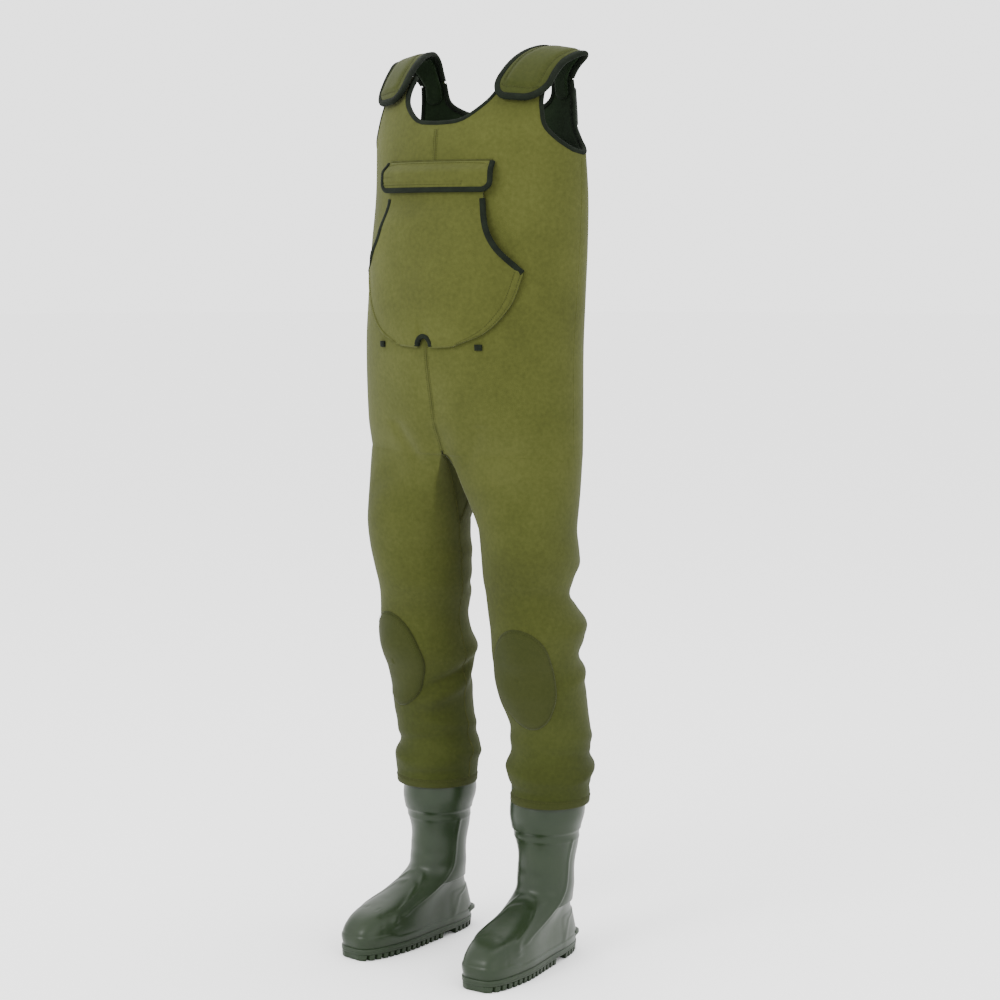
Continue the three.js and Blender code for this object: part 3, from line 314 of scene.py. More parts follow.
def walled(name, outer, inner, materials, closed=False, inner_slot=0):
    """A closed sheet between an outer and an inner grid of points."""
    rows, columns = outer.shape[:2]
    count = rows * columns
    points = np.concatenate([outer.reshape(-1, 3), inner.reshape(-1, 3)])
    face = quads(rows, columns, closed)
    parts = [face, face[:, ::-1] + count]
    picks = [np.zeros(len(face)), np.full(len(face), inner_slot)]
    last = columns if closed else columns - 1
    i = np.arange(last)
    n = (i + 1) % columns
    low = np.stack([i + count, n + count, n, i], 1)
    top = (rows - 1) * columns
    high = np.stack([top + i, top + n, top + n + count, top + i + count], 1)
    parts += [low, high]
    if not closed:
        j = np.arange(rows - 1) * columns
        parts.append(np.stack([j, j + columns, j + columns + count, j + count], 1))
        j = j + columns - 1
        parts.append(np.stack([j + count, j + columns + count, j + columns, j], 1))
    faces = np.concatenate(parts)
    picks.append(np.zeros(len(faces) - 2 * len(face)))
    if volume(points, faces) < 0:
        faces = faces[:, ::-1]
    return make(name, points, faces, materials, np.concatenate(picks))


def swept(name, points, outs, ups, section, material):
    """A closed section of [outward, upward] values carried along a path."""
    section = np.array(section, float)
    x, y = section[:, 0], section[:, 1]
    if np.sum(x * np.roll(y, -1) - np.roll(x, -1) * y) < 0:
        section = section[::-1]
    grid = points[:, None] + outs[:, None] * section[None, :, :1] + ups[:, None] * section[None, :, 1:]
    k, m = len(points), len(section)
    body = grid.reshape(-1, 3)
    faces = list(quads(k, m, True))
    faces += [list(range(m))[::-1], [(k - 1) * m + i for i in range(m)]]
    test = np.array([f for f in faces if len(f) == 4])
    if volume(body - body.mean(0), test) < 0:
        faces = [list(f)[::-1] for f in faces]
    return make(name, body, faces, material)


def edge_frames(surface, edge, inside):
    """Points, directions out past the edge, and directions up off the face, along an edge of a surface."""
    a, b = edge[:, 0], edge[:, 1]
    point = surface(a, b, 0.0)
    up = unit(surface(a, b, 1.0) - point)
    along = unit(np.gradient(point, axis=0))
    out = unit(np.cross(along, up))
    toward = surface(inside[:, 0], inside[:, 1], 0.0) - point
    out = out * np.where(np.sum(out * toward, -1, keepdims=True) > 0, -1, 1)
    up = unit(np.cross(out, along))
    up = up * np.sign(np.sum(up * (surface(a, b, 1.0) - point), -1, keepdims=True))
    return point, out, up


def binding_section(low, high, flange=8.0):
    """The folded tape's outline round a wall whose faces are at low and high."""
    over = [(-flange, high + 0.1), (-flange + 0.3, high + 0.9), (-1, high + 1.3), (1.6, high + 0.8),
            (2.8, high - 0.8)]
    under = [(2.8, low + 0.8), (1.6, low - 0.8), (-1, low - 1.3), (-flange + 0.3, low - 0.9),
             (-flange, low - 0.1)]
    return over + under


def mirror(points):
    return np.asarray(points, float) * np.array([-1.0, 1, 1])


def worn(points, sign):
    """Points made for the wearer's left, taken over to the right where sign is negative."""
    return points if sign > 0 else mirror(points)


# ---- finishes ----------------------------------------------------------------------------------


def finish_base(name, roughness, sheen=0.0, shine=0.1):
    m = bpy.data.materials.new(name)
    m.use_nodes = True
    shader = m.node_tree.nodes["Principled BSDF"]
    shader.inputs["Roughness"].default_value = roughness
    shader.inputs["Sheen Weight"].default_value = sheen
    shader.inputs["Specular IOR Level"].default_value = shine
    return m, m.node_tree.nodes, m.node_tree.links, shader


def noise(nodes, links, place, scale, detail=2.0):
    n = nodes.new("ShaderNodeTexNoise")
    n.inputs["Scale"].default_value = scale
    n.inputs["Detail"].default_value = detail
    links.new(place.outputs["Object"], n.inputs["Vector"])
    return n.outputs["Fac"]


def ramp(nodes, links, value, stops):
    r = nodes.new("ShaderNodeValToRGB")
    links.new(value, r.inputs["Fac"])
    r.color_ramp.elements[0].position, r.color_ramp.elements[0].color = stops[0][0], (*stops[0][1], 1)
    r.color_ramp.elements[1].position, r.color_ramp.elements[1].color = stops[-1][0], (*stops[-1][1], 1)
    for at, colour in stops[1:-1]:
        e = r.color_ramp.elements.new(at)
        e.color = (*colour, 1)
    return r.outputs["Color"]


def bump(nodes, links, shader, heights):
    """heights: list of (value, strength, distance in metres), laid over each other."""
    before = None
    for value, strength, distance in heights:
        b = nodes.new("ShaderNodeBump")
        b.inputs["Strength"].default_value = strength
        b.inputs["Distance"].default_value = distance
        links.new(value, b.inputs["Height"])
        if before:
            links.new(before, b.inputs["Normal"])
        before = b.outputs["Normal"]
    links.new(before, shader.inputs["Normal"])


def knit(name, dark, mid, light, roughness=0.92, sheen=0.04, low=None):
    """Matte knitted face over foam: fine stitches, a soft mottle, and, where low is given, painted shade that
    darkens it towards the feet.
    """
    m, nodes, links, shader = finish_base(name, roughness, sheen)
    place = nodes.new("ShaderNodeTexCoord")
    mottle = nodes.new("ShaderNodeMath")
    mottle.operation = "MULTIPLY_ADD"
    mottle.inputs[1].default_value = 0.65
    links.new(noise(nodes, links, place, 7.0, 4.0), mottle.inputs[0])
    fine = nodes.new("ShaderNodeMath")
    fine.operation = "MULTIPLY"
    fine.inputs[1].default_value = 0.35
    links.new(noise(nodes, links, place, 160.0, 3.0), fine.inputs[0])
    links.new(fine.outputs[0], mottle.inputs[2])
    colour = ramp(nodes, links, mottle.outputs[0], [(0.34, dark), (0.5, mid), (0.66, light)])
    # Painted shade: where low is given, the colour is multiplied darker towards the feet by height, standing
    # in for the weaker light on the legs.
    if low:
        split = nodes.new("ShaderNodeSeparateXYZ")
        links.new(place.outputs["Object"], split.inputs[0])
        height = nodes.new("ShaderNodeMapRange")
        height.inputs["From Min"].default_value, height.inputs["From Max"].default_value = 0.26, 1.05
        links.new(split.outputs["Z"], height.inputs["Value"])
        mix = nodes.new("ShaderNodeMix")
        mix.data_type = "RGBA"
        mix.blend_type = "MULTIPLY"
        mix.inputs["Factor"].default_value = 1
        painted_shade_halfway = tuple(lerp(np.array(low), 1, 0.5))
        painted_shade_tone = ramp(nodes, links, height.outputs["Result"], [(0.0, low), (0.45, painted_shade_halfway), (1.0, (1, 1, 1))])
        links.new(colour, mix.inputs[6])
        links.new(painted_shade_tone, mix.inputs[7])
        colour = mix.outputs[2]
    links.new(colour, shader.inputs["Base Color"])
    grain = nodes.new("ShaderNodeTexVoronoi")
    grain.inputs["Scale"].default_value = 700
    links.new(place.outputs["Object"], grain.inputs["Vector"])
    bump(nodes, links, shader, [(noise(nodes, links, place, 22.0, 3.0), 0.25, 0.004),
                                (grain.outputs["Distance"], 0.35, 0.0004)])
    return m


def webbing(name, colour, light, scale=900):
    """Woven tape: fine crossing ribs."""
    m, nodes, links, shader = finish_base(name, 0.85)
    place = nodes.new("ShaderNodeTexCoord")
    links.new(ramp(nodes, links, noise(nodes, links, place, 90, 4), [(0.3, colour), (0.75, light)]),
              shader.inputs["Base Color"])
    wave = nodes.new("ShaderNodeTexWave")
    wave.bands_direction = "DIAGONAL"
    wave.inputs["Scale"].default_value = scale / 3
    wave.inputs["Distortion"].default_value = 1.5
    links.new(place.outputs["Object"], wave.inputs["Vector"])
    bump(nodes, links, shader, [(wave.outputs["Fac"], 0.4, 0.0004)])
    return m


def moulded(name, dark, light, roughness, mark=0.35):
    """Moulded rubbery plastic with a soft gloss, faint cloudiness and fine pitting."""
    m, nodes, links, shader = finish_base(name, roughness, shine=0.28)
    place = nodes.new("ShaderNodeTexCoord")
    links.new(ramp(nodes, links, noise(nodes, links, place, 14, 4), [(0.3, dark), (0.7, light)]),
              shader.inputs["Base Color"])
    rough = nodes.new("ShaderNodeMapRange")
    rough.inputs["To Min"].default_value = roughness - 0.08
    rough.inputs["To Max"].default_value = roughness + 0.1
    links.new(noise(nodes, links, place, 30, 5), rough.inputs["Value"])
    links.new(rough.outputs["Result"], shader.inputs["Roughness"])
    bump(nodes, links, shader, [(noise(nodes, links, place, 18, 2), mark, 0.003),
                                (noise(nodes, links, place, 900, 2), 0.08, 0.0003)])
    return m


# The olive's low tone is painted shade that darkens the legs towards the feet.
olive = knit("olive_neoprene", (0.034, 0.038, 0.0070), (0.044, 0.049, 0.0098), (0.055, 0.060, 0.0140),
             low=(0.44, 0.50, 0.37))
patch_olive = knit("olive_reinforcement", (0.0165, 0.0205, 0.0035), (0.0200, 0.0240, 0.0045),
                   (0.0235, 0.0275, 0.0060))
strap_olive = knit("olive_strap", (0.019, 0.024, 0.0042), (0.025, 0.030, 0.0056), (0.031, 0.036, 0.0075))
lining = knit("green_lining", (0.005, 0.011, 0.0035), (0.007, 0.015, 0.005), (0.010, 0.020, 0.007),
              0.95, 0.05)
tape = webbing("binding_tape", (0.0025, 0.0042, 0.0020), (0.0055, 0.0085, 0.0042))
thread = webbing("seam_thread", (0.022, 0.026, 0.006), (0.036, 0.040, 0.010), 2400)
seam_finish = webbing("seam_ridge", (0.026, 0.029, 0.006), (0.040, 0.044, 0.010), 1200)
pile = webbing("hook_and_loop_pile", (0.008, 0.009, 0.009), (0.022, 0.024, 0.024), 2000)
boot_green = moulded("boot_green", (0.0055, 0.0125, 0.0030), (0.0080, 0.0165, 0.0042), 0.36)
sole_green = moulded("sole_green", (0.0065, 0.0140, 0.0042), (0.0100, 0.0190, 0.0060), 0.5, 0.5)

# ---- edges of the bib --------------------------------------------------------------------------

NECK_DEPTH, BACK_NECK_DEPTH, ARMHOLE_DROP = 23, 37, 18
EAR_INNER, EAR_OUTER, BACK_EAR_INNER, BACK_EAR_OUTER = 92, 152, 108, 148


def angle_of(x):
    return math.degrees(math.asin(x / SHOULDER_HALF_WIDTH))


front_neck = even([[0, SHOULDER + NECK_DEPTH], [angle_of(40), SHOULDER + NECK_DEPTH + 3],
                   [angle_of(70), SHOULDER + NECK_DEPTH + 20],
                   [angle_of(EAR_INNER - 6), SHOULDER + NECK_DEPTH + 40],
                   [angle_of(EAR_INNER), SHOULDER + EAR_TOP]], 18)
front_ear = even([[angle_of(EAR_INNER), SHOULDER + EAR_TOP], [angle_of(EAR_OUTER), SHOULDER + EAR_TOP]], 8)
front_armhole = even([[angle_of(EAR_OUTER), SHOULDER + EAR_TOP], [angle_of(EAR_OUTER) + 1, SHOULDER + 62],
                      [angle_of(EAR_OUTER) + 3, SHOULDER + 40], [angle_of(EAR_OUTER) + 8, SHOULDER + 14],
                      [77, SHOULDER - ARMHOLE_DROP + 6], [90, SHOULDER - ARMHOLE_DROP]], 22)
back_ear = 180 - angle_of(BACK_EAR_OUTER)
back_armhole = even([[90, SHOULDER - ARMHOLE_DROP], [105, SHOULDER - ARMHOLE_DROP + 6], [118, SHOULDER + 3],
                     [back_ear - 3, SHOULDER + 24], [back_ear - 0.8, SHOULDER + 54],
                     [back_ear, SHOULDER + STRAP_SEAM]], 22)
back_top = even([[back_ear, SHOULDER + STRAP_SEAM],
                 [180 - angle_of(BACK_EAR_INNER), SHOULDER + STRAP_SEAM]], 6)
back_neck = even([[180 - angle_of(BACK_EAR_INNER), SHOULDER + STRAP_SEAM],
                  [180 - angle_of(BACK_EAR_INNER - 5), SHOULDER + BACK_NECK_DEPTH + 24],
                  [180 - angle_of(80), SHOULDER + BACK_NECK_DEPTH + 9],
                  [180 - angle_of(50), SHOULDER + BACK_NECK_DEPTH + 2],
                  [180, SHOULDER + BACK_NECK_DEPTH]], 20)
top_edge = np.vstack([front_neck, front_ear[1:], front_armhole[1:], back_armhole[1:], back_top[1:],
                      back_neck[1:]])
COLUMNS = len(top_edge) - 1
INNER_COLUMNS = 26

# ---- the garment: bib, pelvis and legs in one shell, cut at the joints -------------------------

TORSO_ROWS = 58
torso_t = 1 - (1 - np.linspace(0, 1, TORSO_ROWS)) ** 1.25
hip_z = np.linspace(HIP_LINE, CROTCH, 12)[1:]
leg_z = np.concatenate([CROTCH - 116 * np.linspace(0, 1, 30)[1:] ** 1.4,
                        np.arange(THIGH_TOP - 4, HEM_HEIGHT - 1, -4)])
KNEE_CUT = int(np.argmin(np.abs(leg_z - 574)))


def half_garment(side):
    place = np.arange(COLUMNS + 1) / COLUMNS
    t = torso_t[:, None]
    pull = t**3
    bib = torso(lerp(180 * place, top_edge[:, 0], pull), lerp(HIP_LINE, top_edge[:, 1], t))[::-1]
    low = np.clip((VALLEY_TOP - bib[..., 2]) / (VALLEY_TOP - VALLEY_MIDDLE), 0, 1)
    bib[..., 1] += np.where(place < 0.5, 5 * low * low * (3 - 2 * low) * np.exp(-(bib[..., 0] / 26) ** 2), 0)
    hips = ring(side, place[None, :], hip_z[:, None])
    upper = np.concatenate([bib, hips])
    inner = 1 + np.arange(1, INNER_COLUMNS) / INNER_COLUMNS
    rim = ring(side, np.full(INNER_COLUMNS - 1, 1.0) * inner, np.full(INNER_COLUMNS - 1, float(CROTCH)))
    legs = ring(side, np.concatenate([place, inner])[None, :], leg_z[:, None])
    scale = np.array([side, 1.0, 1.0])
    return upper * scale, rim * scale, legs * scale


def vertex_normals(points, faces):
    a = np.cross(points[faces[:, 2]] - points[faces[:, 0]], points[faces[:, 3]] - points[faces[:, 1]])
    total = np.zeros_like(points)
    for k in range(4):
        np.add.at(total, faces[:, k], a)
    return total


def garment():
    """Builds each half, shares the normals along the middle seams, and cuts the shell into five pieces."""
    blocks, faces, zones, start = [], [], [], 0
    for side in (1, -1):
        upper, rim, legs = half_garment(side)
        rows = upper.shape[0]
        wide = COLUMNS + 1
        face = quads(rows, wide)
        loop = legs.shape[1]
        base = rows * wide
        first = np.concatenate([np.arange((rows - 1) * wide, rows * wide),
                                base + np.arange(INNER_COLUMNS - 1)])
        lower_rows = base + INNER_COLUMNS - 1 + np.arange(legs.shape[0] * loop).reshape(-1, loop)
        grid = np.concatenate([first[None], lower_rows])
        nxt = np.roll(grid, -1, 1)
        below = np.stack([grid[:-1], nxt[:-1], nxt[1:], grid[1:]], -1)
        points = np.concatenate([upper.reshape(-1, 3), rim, legs.reshape(-1, 3)])
        lower = below.reshape(-1, 4)
        row = np.repeat(np.arange(below.shape[0]), loop)
        zone = np.concatenate([np.zeros(len(face)), np.where(row <= KNEE_CUT, 1, 2)])
        both = np.concatenate([face, lower])
        if side > 0:
            both = both[:, ::-1]
        blocks.append(points)
        faces.append(both + start)
        zones.append(np.where(zone == 0, 0, zone if side > 0 else zone + 2))
        start += len(points)
    points, faces, zones = np.concatenate(blocks), np.concatenate(faces), np.concatenate(zones)
    normals = vertex_normals(points, faces)
    keys = np.round(points / 0.05).astype(int)
    _, shared = np.unique(keys, axis=0, return_inverse=True)
    shared = shared.ravel()
    merged = np.zeros((shared.max() + 1, 3))
    np.add.at(merged, shared, normals)
    normals = unit(merged[shared])
    middle = np.zeros((shared.max() + 1, 3))
    count = np.zeros(shared.max() + 1)
    np.add.at(middle, shared, points)
    np.add.at(count, shared, 1)
    whole = middle / count[:, None]
    normal = np.zeros_like(whole)
    normal[shared] = normals
    faces = shared[faces]
    # At the steep back armhole one cell on each side has no area; it is left out.
    sound = np.array([len(set(corners)) == 4 for corners in faces.tolist()])
    faces, zones = faces[sound], zones[sound]
    pieces = []
    for zone, name in enumerate(["bib", "thigh_left", "lower_leg_left", "thigh_right", "lower_leg_right"]):
        mine = faces[zones == zone]
        used, local = np.unique(mine, return_inverse=True)
        local = local.reshape(mine.shape)
        outer, n = whole[used], normal[used]
        inner = outer - n * WALL
        count = len(used)
        edges = np.concatenate([local[:, [k, (k + 1) % 4]] for k in range(4)])
        key = np.sort(edges, 1)
        _, first, times = np.unique(key, axis=0, return_index=True, return_counts=True)
        rim = edges[first[times == 1]]
        sides = np.stack([rim[:, 1], rim[:, 0], rim[:, 0] + count, rim[:, 1] + count], 1)
        every = np.concatenate([local, local[:, ::-1] + count, sides])
        pick = np.concatenate([np.zeros(len(local)), np.ones(len(local)), np.ones(len(sides))])
        piece = make("neoprene_" + name, np.concatenate([outer, inner]), every, [olive, lining], pick)
        piece.data.normals_split_custom_set_from_vertices(np.concatenate([n, -n]).tolist())
        pieces.append(piece)
    return pieces


bib, thigh_l, lower_l, thigh_r, lower_r = garment()


def rides(piece, body, slot, *nodes):
    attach(piece, body)
    if nodes:
        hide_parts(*nodes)
    return piece


def bends(piece, a, b, start, end, slot, *nodes):
    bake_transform(piece)
    if nodes:
        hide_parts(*nodes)
    return piece


SIDES = {"left": 1, "right": -1}
HIP_BEND = ((0, 0, 0.815), (0, 0, 0.63))
KNEE_BEND = ((0, 0, 0.565), (0, 0, 0.405))


def at_hip(piece, side, slot, *nodes):
    return bends(piece, "torso", f"{side}_thigh", *HIP_BEND, slot, *nodes)


def at_knee(piece, side, slot, *nodes):
    return bends(piece, f"{side}_thigh", f"{side}_lower_leg", *KNEE_BEND, slot, *nodes)


rides(bib, "torso", "neoprene", "front_panel_left", "front_panel_right", "back_panel_left",
      "back_panel_right", "crotch_gusset")
for side, thigh, lower in (("left", thigh_l, lower_l), ("right", thigh_r, lower_r)):
    at_hip(thigh, side, "neoprene", f"hip_panel_{side}", f"thigh_sleeve_{side}", f"knee_sleeve_{side}")
    at_knee(lower, side, "neoprene", f"lower_leg_sleeve_{side}")

# ---- stitches: a tree of Geometry Nodes that lays thread along a path --------------------------


def stitch_tree():
    tree = bpy.data.node_groups.new("thread_along_a_path", "GeometryNodeTree")
    io = tree.interface
    io.new_socket("Geometry", in_out="INPUT", socket_type="NodeSocketGeometry")
    for name, value in (("Pitch", 0.004), ("Stitch Length", 0.0028), ("Stitch Width", 0.0009)):
        socket = io.new_socket(name, in_out="INPUT", socket_type="NodeSocketFloat")
        socket.default_value = value
    io.new_socket("Thread", in_out="INPUT", socket_type="NodeSocketMaterial")
    io.new_socket("Geometry", in_out="OUTPUT", socket_type="NodeSocketGeometry")
    n, link = tree.nodes, tree.links.new
    into, out = n.new("NodeGroupInput"), n.new("NodeGroupOutput")
    line = n.new("GeometryNodeMeshToCurve")
    spaced = n.new("GeometryNodeResampleCurve")
    if "Mode" in spaced.inputs:
        spaced.inputs["Mode"].default_value = "Length"
    else:
        spaced.mode = "LENGTH"
    one = n.new("GeometryNodeMeshIcoSphere")
    one.inputs["Radius"].default_value = 0.5
    one.inputs["Subdivisions"].default_value = 1
    size = n.new("ShaderNodeCombineXYZ")
    tangent = n.new("GeometryNodeInputTangent")
    turn = n.new("FunctionNodeAlignRotationToVector")
    turn.axis = "X"
    lay = n.new("GeometryNodeInstanceOnPoints")
    real = n.new("GeometryNodeRealizeInstances")
    soft = n.new("GeometryNodeSetShadeSmooth")
    finish = n.new("GeometryNodeSetMaterial")
    link(into.outputs["Geometry"], line.inputs[0])
    link(line.outputs[0], spaced.inputs["Curve"])
    link(into.outputs["Pitch"], spaced.inputs["Length"])
    link(spaced.outputs[0], lay.inputs["Points"])
    link(one.outputs["Mesh"], lay.inputs["Instance"])
    link(tangent.outputs[0], turn.inputs["Vector"])
    link(turn.outputs[0], lay.inputs["Rotation"])
    link(into.outputs["Stitch Length"], size.inputs["X"])
    link(into.outputs["Stitch Width"], size.inputs["Y"])
    link(into.outputs["Stitch Width"], size.inputs["Z"])
    link(size.outputs[0], lay.inputs["Scale"])
    link(lay.outputs[0], real.inputs[0])
    link(real.outputs[0], soft.inputs[0])
    link(soft.outputs[0], finish.inputs["Geometry"])
    link(into.outputs["Thread"], finish.inputs["Material"])
    link(finish.outputs[0], out.inputs[0])
    return tree


THREAD_TREE = stitch_tree()


def stitched(name, paths, pitch=4.2, length=3.0, width=0.95, finish=thread):
    """Stitches along paths of points, as one plain mesh."""
    points, edges, start = [], [], 0
    for path in paths:
        path = np.asarray(path, float)
        points.append(path)
        edges += [(start + k, start + k + 1) for k in range(len(path) - 1)]
        start += len(path)
    mesh = bpy.data.meshes.new(name + "_path")
    mesh.from_pydata(to_frame(np.concatenate(points)).tolist(), edges, [])
    path_object = bpy.data.objects.new(name + "_path", mesh)
    scene.collection.objects.link(path_object)
    modifier = path_object.modifiers.new("thread", "NODES")
    modifier.node_group = THREAD_TREE
    values = {"Pitch": pitch / 1000, "Stitch Length": length / 1000, "Stitch Width": width / 1000,
              "Thread": finish}
    for item in THREAD_TREE.interface.items_tree:
        if item.in_out == "INPUT" and item.name in values:
            modifier[item.identifier] = values[item.name]
    bpy.context.view_layer.update()
    shown = path_object.evaluated_get(bpy.context.evaluated_depsgraph_get())
    made = bpy.data.meshes.new_from_object(shown)
    bpy.data.objects.remove(path_object)
    piece = bpy.data.objects.new(name, made)
    scene.collection.objects.link(piece)
    return piece


def ridge(name, path, ups, width, height, finish=seam_finish):
    """A low rounded ridge along a seam."""
    path = np.asarray(path, float)
    along = unit(np.gradient(path, axis=0))
    outs = unit(np.cross(along, ups))
    h = width / 2
    crest = height * 0.8
    section = [(-h, -0.8), (-h, 0.05), (-h * 0.55, crest), (0, height), (h * 0.55, crest), (h, 0.05),
               (h, -0.8)]
    return swept(name, path, outs, unit(ups), section, finish)


# ---- bindings of the bib -----------------------------------------------------------------------

wall_tape = binding_section(-WALL, 0, 4.0)
back_neck_section = binding_section(-WALL, 0, 5.5)


def bound_edge(name, edge, inside_shift, section=None, flip=False):
    """Folded tape over an edge of the bib. inside_shift: a step from the edge back onto the cloth."""
    inside = np.asarray(edge) + np.asarray(inside_shift)
    point, out, up = edge_frames(torso_at, np.asarray(edge), inside)
    if flip:
        point, out, up = mirror(point), mirror(out), mirror(up)
    return swept(name, point, out, up, section or wall_tape, tape)


neck_edge = np.vstack([front_neck[::-1] * [-1, 1], front_neck[1:]])
neck_in = np.stack([np.sign(neck_edge[:, 0]) * 4, np.full(len(neck_edge), -12.0)], 1)
rides(bound_edge("front_neck_tape", neck_edge, neck_in), "torso", "binding", "front_neck_binding")
back_edge = np.vstack([back_neck, (back_neck[:-1][::-1] * [-1, 1] + [360, 0])])
back_in = np.stack([np.sign(back_edge[:, 0] - 180) * 4, np.full(len(back_edge), -12.0)], 1)
rides(bound_edge("back_neck_tape", back_edge, back_in, back_neck_section), "torso", "binding",
      "back_neck_binding")
arm_edge = np.vstack([front_armhole, back_armhole[1:]])
arm_in = np.stack([(arm_edge[:, 0] - 90) * 0.15, np.full(len(arm_edge), -14.0)], 1)
for side, sign in SIDES.items():
    rides(bound_edge(f"armhole_tape_{side}", arm_edge, arm_in, flip=sign < 0), "torso", "binding",
          f"armhole_binding_{side}")

# ---- shoulder straps ---------------------------------------------------------------------------

OVER = RIDGE - SHOULDER
STRAP_FOOT = 2 * OVER - STRAP_SEAM
strap_line = curve([[STRAP_END, 121, 37], [OVER - 62, 130, 36], [OVER, 146, 36], [STRAP_FOOT - 30, 136, 25],
                    [STRAP_FOOT, 128, 20]])
STRAP_OFFSET, STRAP_END_RADIUS, STRAP_END_HALF = 7, 30, 41
STRAP_CHANNEL = 13.5   # the sewn channel's distance from the strap's edge


def strap_at(across, along, out):
    """A point of the left strap.

    across: -1 to 1. along: height over the shoulder line, counting on over the ridge.
    out: distance from the underside.
    """
    across, along = np.broadcast_arrays(np.asarray(across, float), np.asarray(along, float))
    line = strap_line(along)
    lift = lerp(STRAP_OFFSET, -WALL, smooth(along, OVER, STRAP_FOOT))
    return shoulder_at(line[..., 0] + across * line[..., 1], SHOULDER + along, lift + out)


def strap_start(across, inset=0.0):
    half = STRAP_END_HALF - inset
    radius = STRAP_END_RADIUS - inset
    past = np.maximum(0, np.abs(across) * half - (half - radius))
    return STRAP_END + inset + radius - np.sqrt(np.maximum(0, radius**2 - past**2))


def build_strap(side, sign):
    rows, columns = 60, 33
    across = np.sin(np.linspace(-1, 1, columns) * math.pi / 2)[None, :]
    j = np.linspace(0, 1, rows)[:, None]
    start = strap_start(across, 1.5)
    along = lerp(start, STRAP_FOOT, j)
    half = strap_line(along)[..., 1]
    from_side = (1 - np.abs(across)) * half
    from_end = along - start
    edge = np.minimum(from_side, from_end)
    crown = 3.2 * smooth(edge, 2, 22) * (1 - smooth(along, STRAP_FOOT - 50, STRAP_FOOT))
    channel = 1.5 * np.exp(-((edge - STRAP_CHANNEL) / 1.7) ** 2)
    outer = strap_at(across * (1 - 1.5 / 38), along, WALL + crown - channel)
    inner = strap_at(across * (1 - 1.5 / 38), along, 0.4 * np.ones_like(along))
    strap = walled(f"shoulder_strap_{side}", worn(outer, sign), worn(inner, sign), [strap_olive, lining],
                   inner_slot=1)
    nodes = (f"strap_flap_{side}", f"strap_back_{side}")
    ends = ((0, strap_hinge[1] + 0.006, strap_hinge[2]), (0, strap_hinge[1] - 0.012, strap_hinge[2]))
    bends(strap, "torso", f"{side}_strap_end", *ends, "neoprene", *nodes)
    steps = np.linspace(0, 1, 40)[:, None]
    sides = [np.hstack([np.full((40, 1), s), lerp(STRAP_FOOT - 4, strap_start(s, 0.0), steps)])
             for s in (-1.0, 1.0)]
    turn = np.sin(np.linspace(-1, 1, 41)[1:-1] * math.pi / 2)
    end = np.stack([turn, strap_start(turn, 0.0)], 1)
    path = np.vstack([sides[0], end, sides[1][::-1]])
    point = strap_at(path[:, 0], path[:, 1], 0.0)
    up = unit(strap_at(path[:, 0], path[:, 1], 1.0) - point)
    along_path = unit(np.gradient(point, axis=0))
    out = unit(np.cross(along_path, up))
    core = strap_at(path[:, 0] * 0.8, np.maximum(path[:, 1], STRAP_END + 25), 0.0)
    out = out * np.where(np.sum(out * (core - point), 1, keepdims=True) > 0, -1, 1)
    point, up, out = (worn(v, sign) for v in (point, up, out))
    edge_tape = swept(f"strap_tape_{side}", point, out, up, binding_section(0.2, WALL + 0.4, 6.5), tape)
    bends(edge_tape, "torso", f"{side}_strap_end", *ends, "binding", f"strap_binding_{side}")
    share = 1 - STRAP_CHANNEL / 38
    run = np.linspace(STRAP_FOOT - 6, STRAP_END + 24, 50)
    bow = np.sin(np.linspace(-1, 1, 30) * math.pi / 2) * share
    run_end = np.maximum(strap_start(bow, 0) + STRAP_CHANNEL - 1.5, STRAP_END + STRAP_CHANNEL)
    lines = [strap_at(np.full(50, s), run, WALL + 2.0) for s in (-share, share)]
    lines.append(strap_at(bow, run_end, WALL + 2.0))
    lines = [worn(line, sign) for line in lines]
    stitches = stitched(f"strap_stitches_{side}", lines, 4.0, 3.0, 1.1)
    bends(stitches, "torso", f"{side}_strap_end", *ends, "neoprene")
    rows, columns = 30, 17
    across = np.linspace(-1, 1, columns)[None, :]
    j = np.linspace(0, 1, rows)[:, None]
    far = STRAP_FOOT + 34 - 12 * (1 - np.sqrt(np.maximum(0, 1 - 0.9 * across**2)))
    along = lerp(OVER + 3, far, j)
    swell = 1.6 * smooth(1 - np.abs(across), 0, 0.25) * smooth(j, 0, 0.15) * smooth(1 - j, 0, 0.15)
    top = strap_at(across * 0.68, along, -1.2 * np.ones_like(along))
    low = strap_at(across * 0.68, along, -2.8 - swell)
    pad = walled(f"strap_inner_pad_{side}", worn(top, sign), worn(low, sign), lining)
    rides(pad, "torso", "lining", f"strap_pad_{side}")


joints = {j["name"]: j for j in frame["joints"]}
strap_hinge = joints["left_strap_closure"]["pos_m"]
for side, sign in SIDES.items():
    build_strap(side, sign)

# ---- chest pocket ------------------------------------------------------------------------------

TOP_HALF, TIP_HALF, BOTTOM_HALF = 86, 150, 52
hand_edge = even([[TOP_HALF, POUCH_TOP], [lerp(TOP_HALF, TIP_HALF, 0.15), lerp(POUCH_TOP, POUCH_TIP, 0.44)],
                  [lerp(TOP_HALF, TIP_HALF, 0.42), lerp(POUCH_TOP, POUCH_TIP, 0.72)],
                  [TIP_HALF, POUCH_TIP]], 40)
sewn_edge = even([[TIP_HALF, POUCH_TIP],
                  [lerp(BOTTOM_HALF, TIP_HALF, 0.85), lerp(POUCH_TIP, POUCH_BOTTOM, 0.44)],
                  [lerp(BOTTOM_HALF, TIP_HALF, 0.52), lerp(POUCH_TIP, POUCH_BOTTOM, 0.78)],
                  [BOTTOM_HALF, POUCH_BOTTOM - 3]], 40)
pouch_side = np.vstack([hand_edge, sewn_edge[1:]])
POUCH_WALL = 3.5


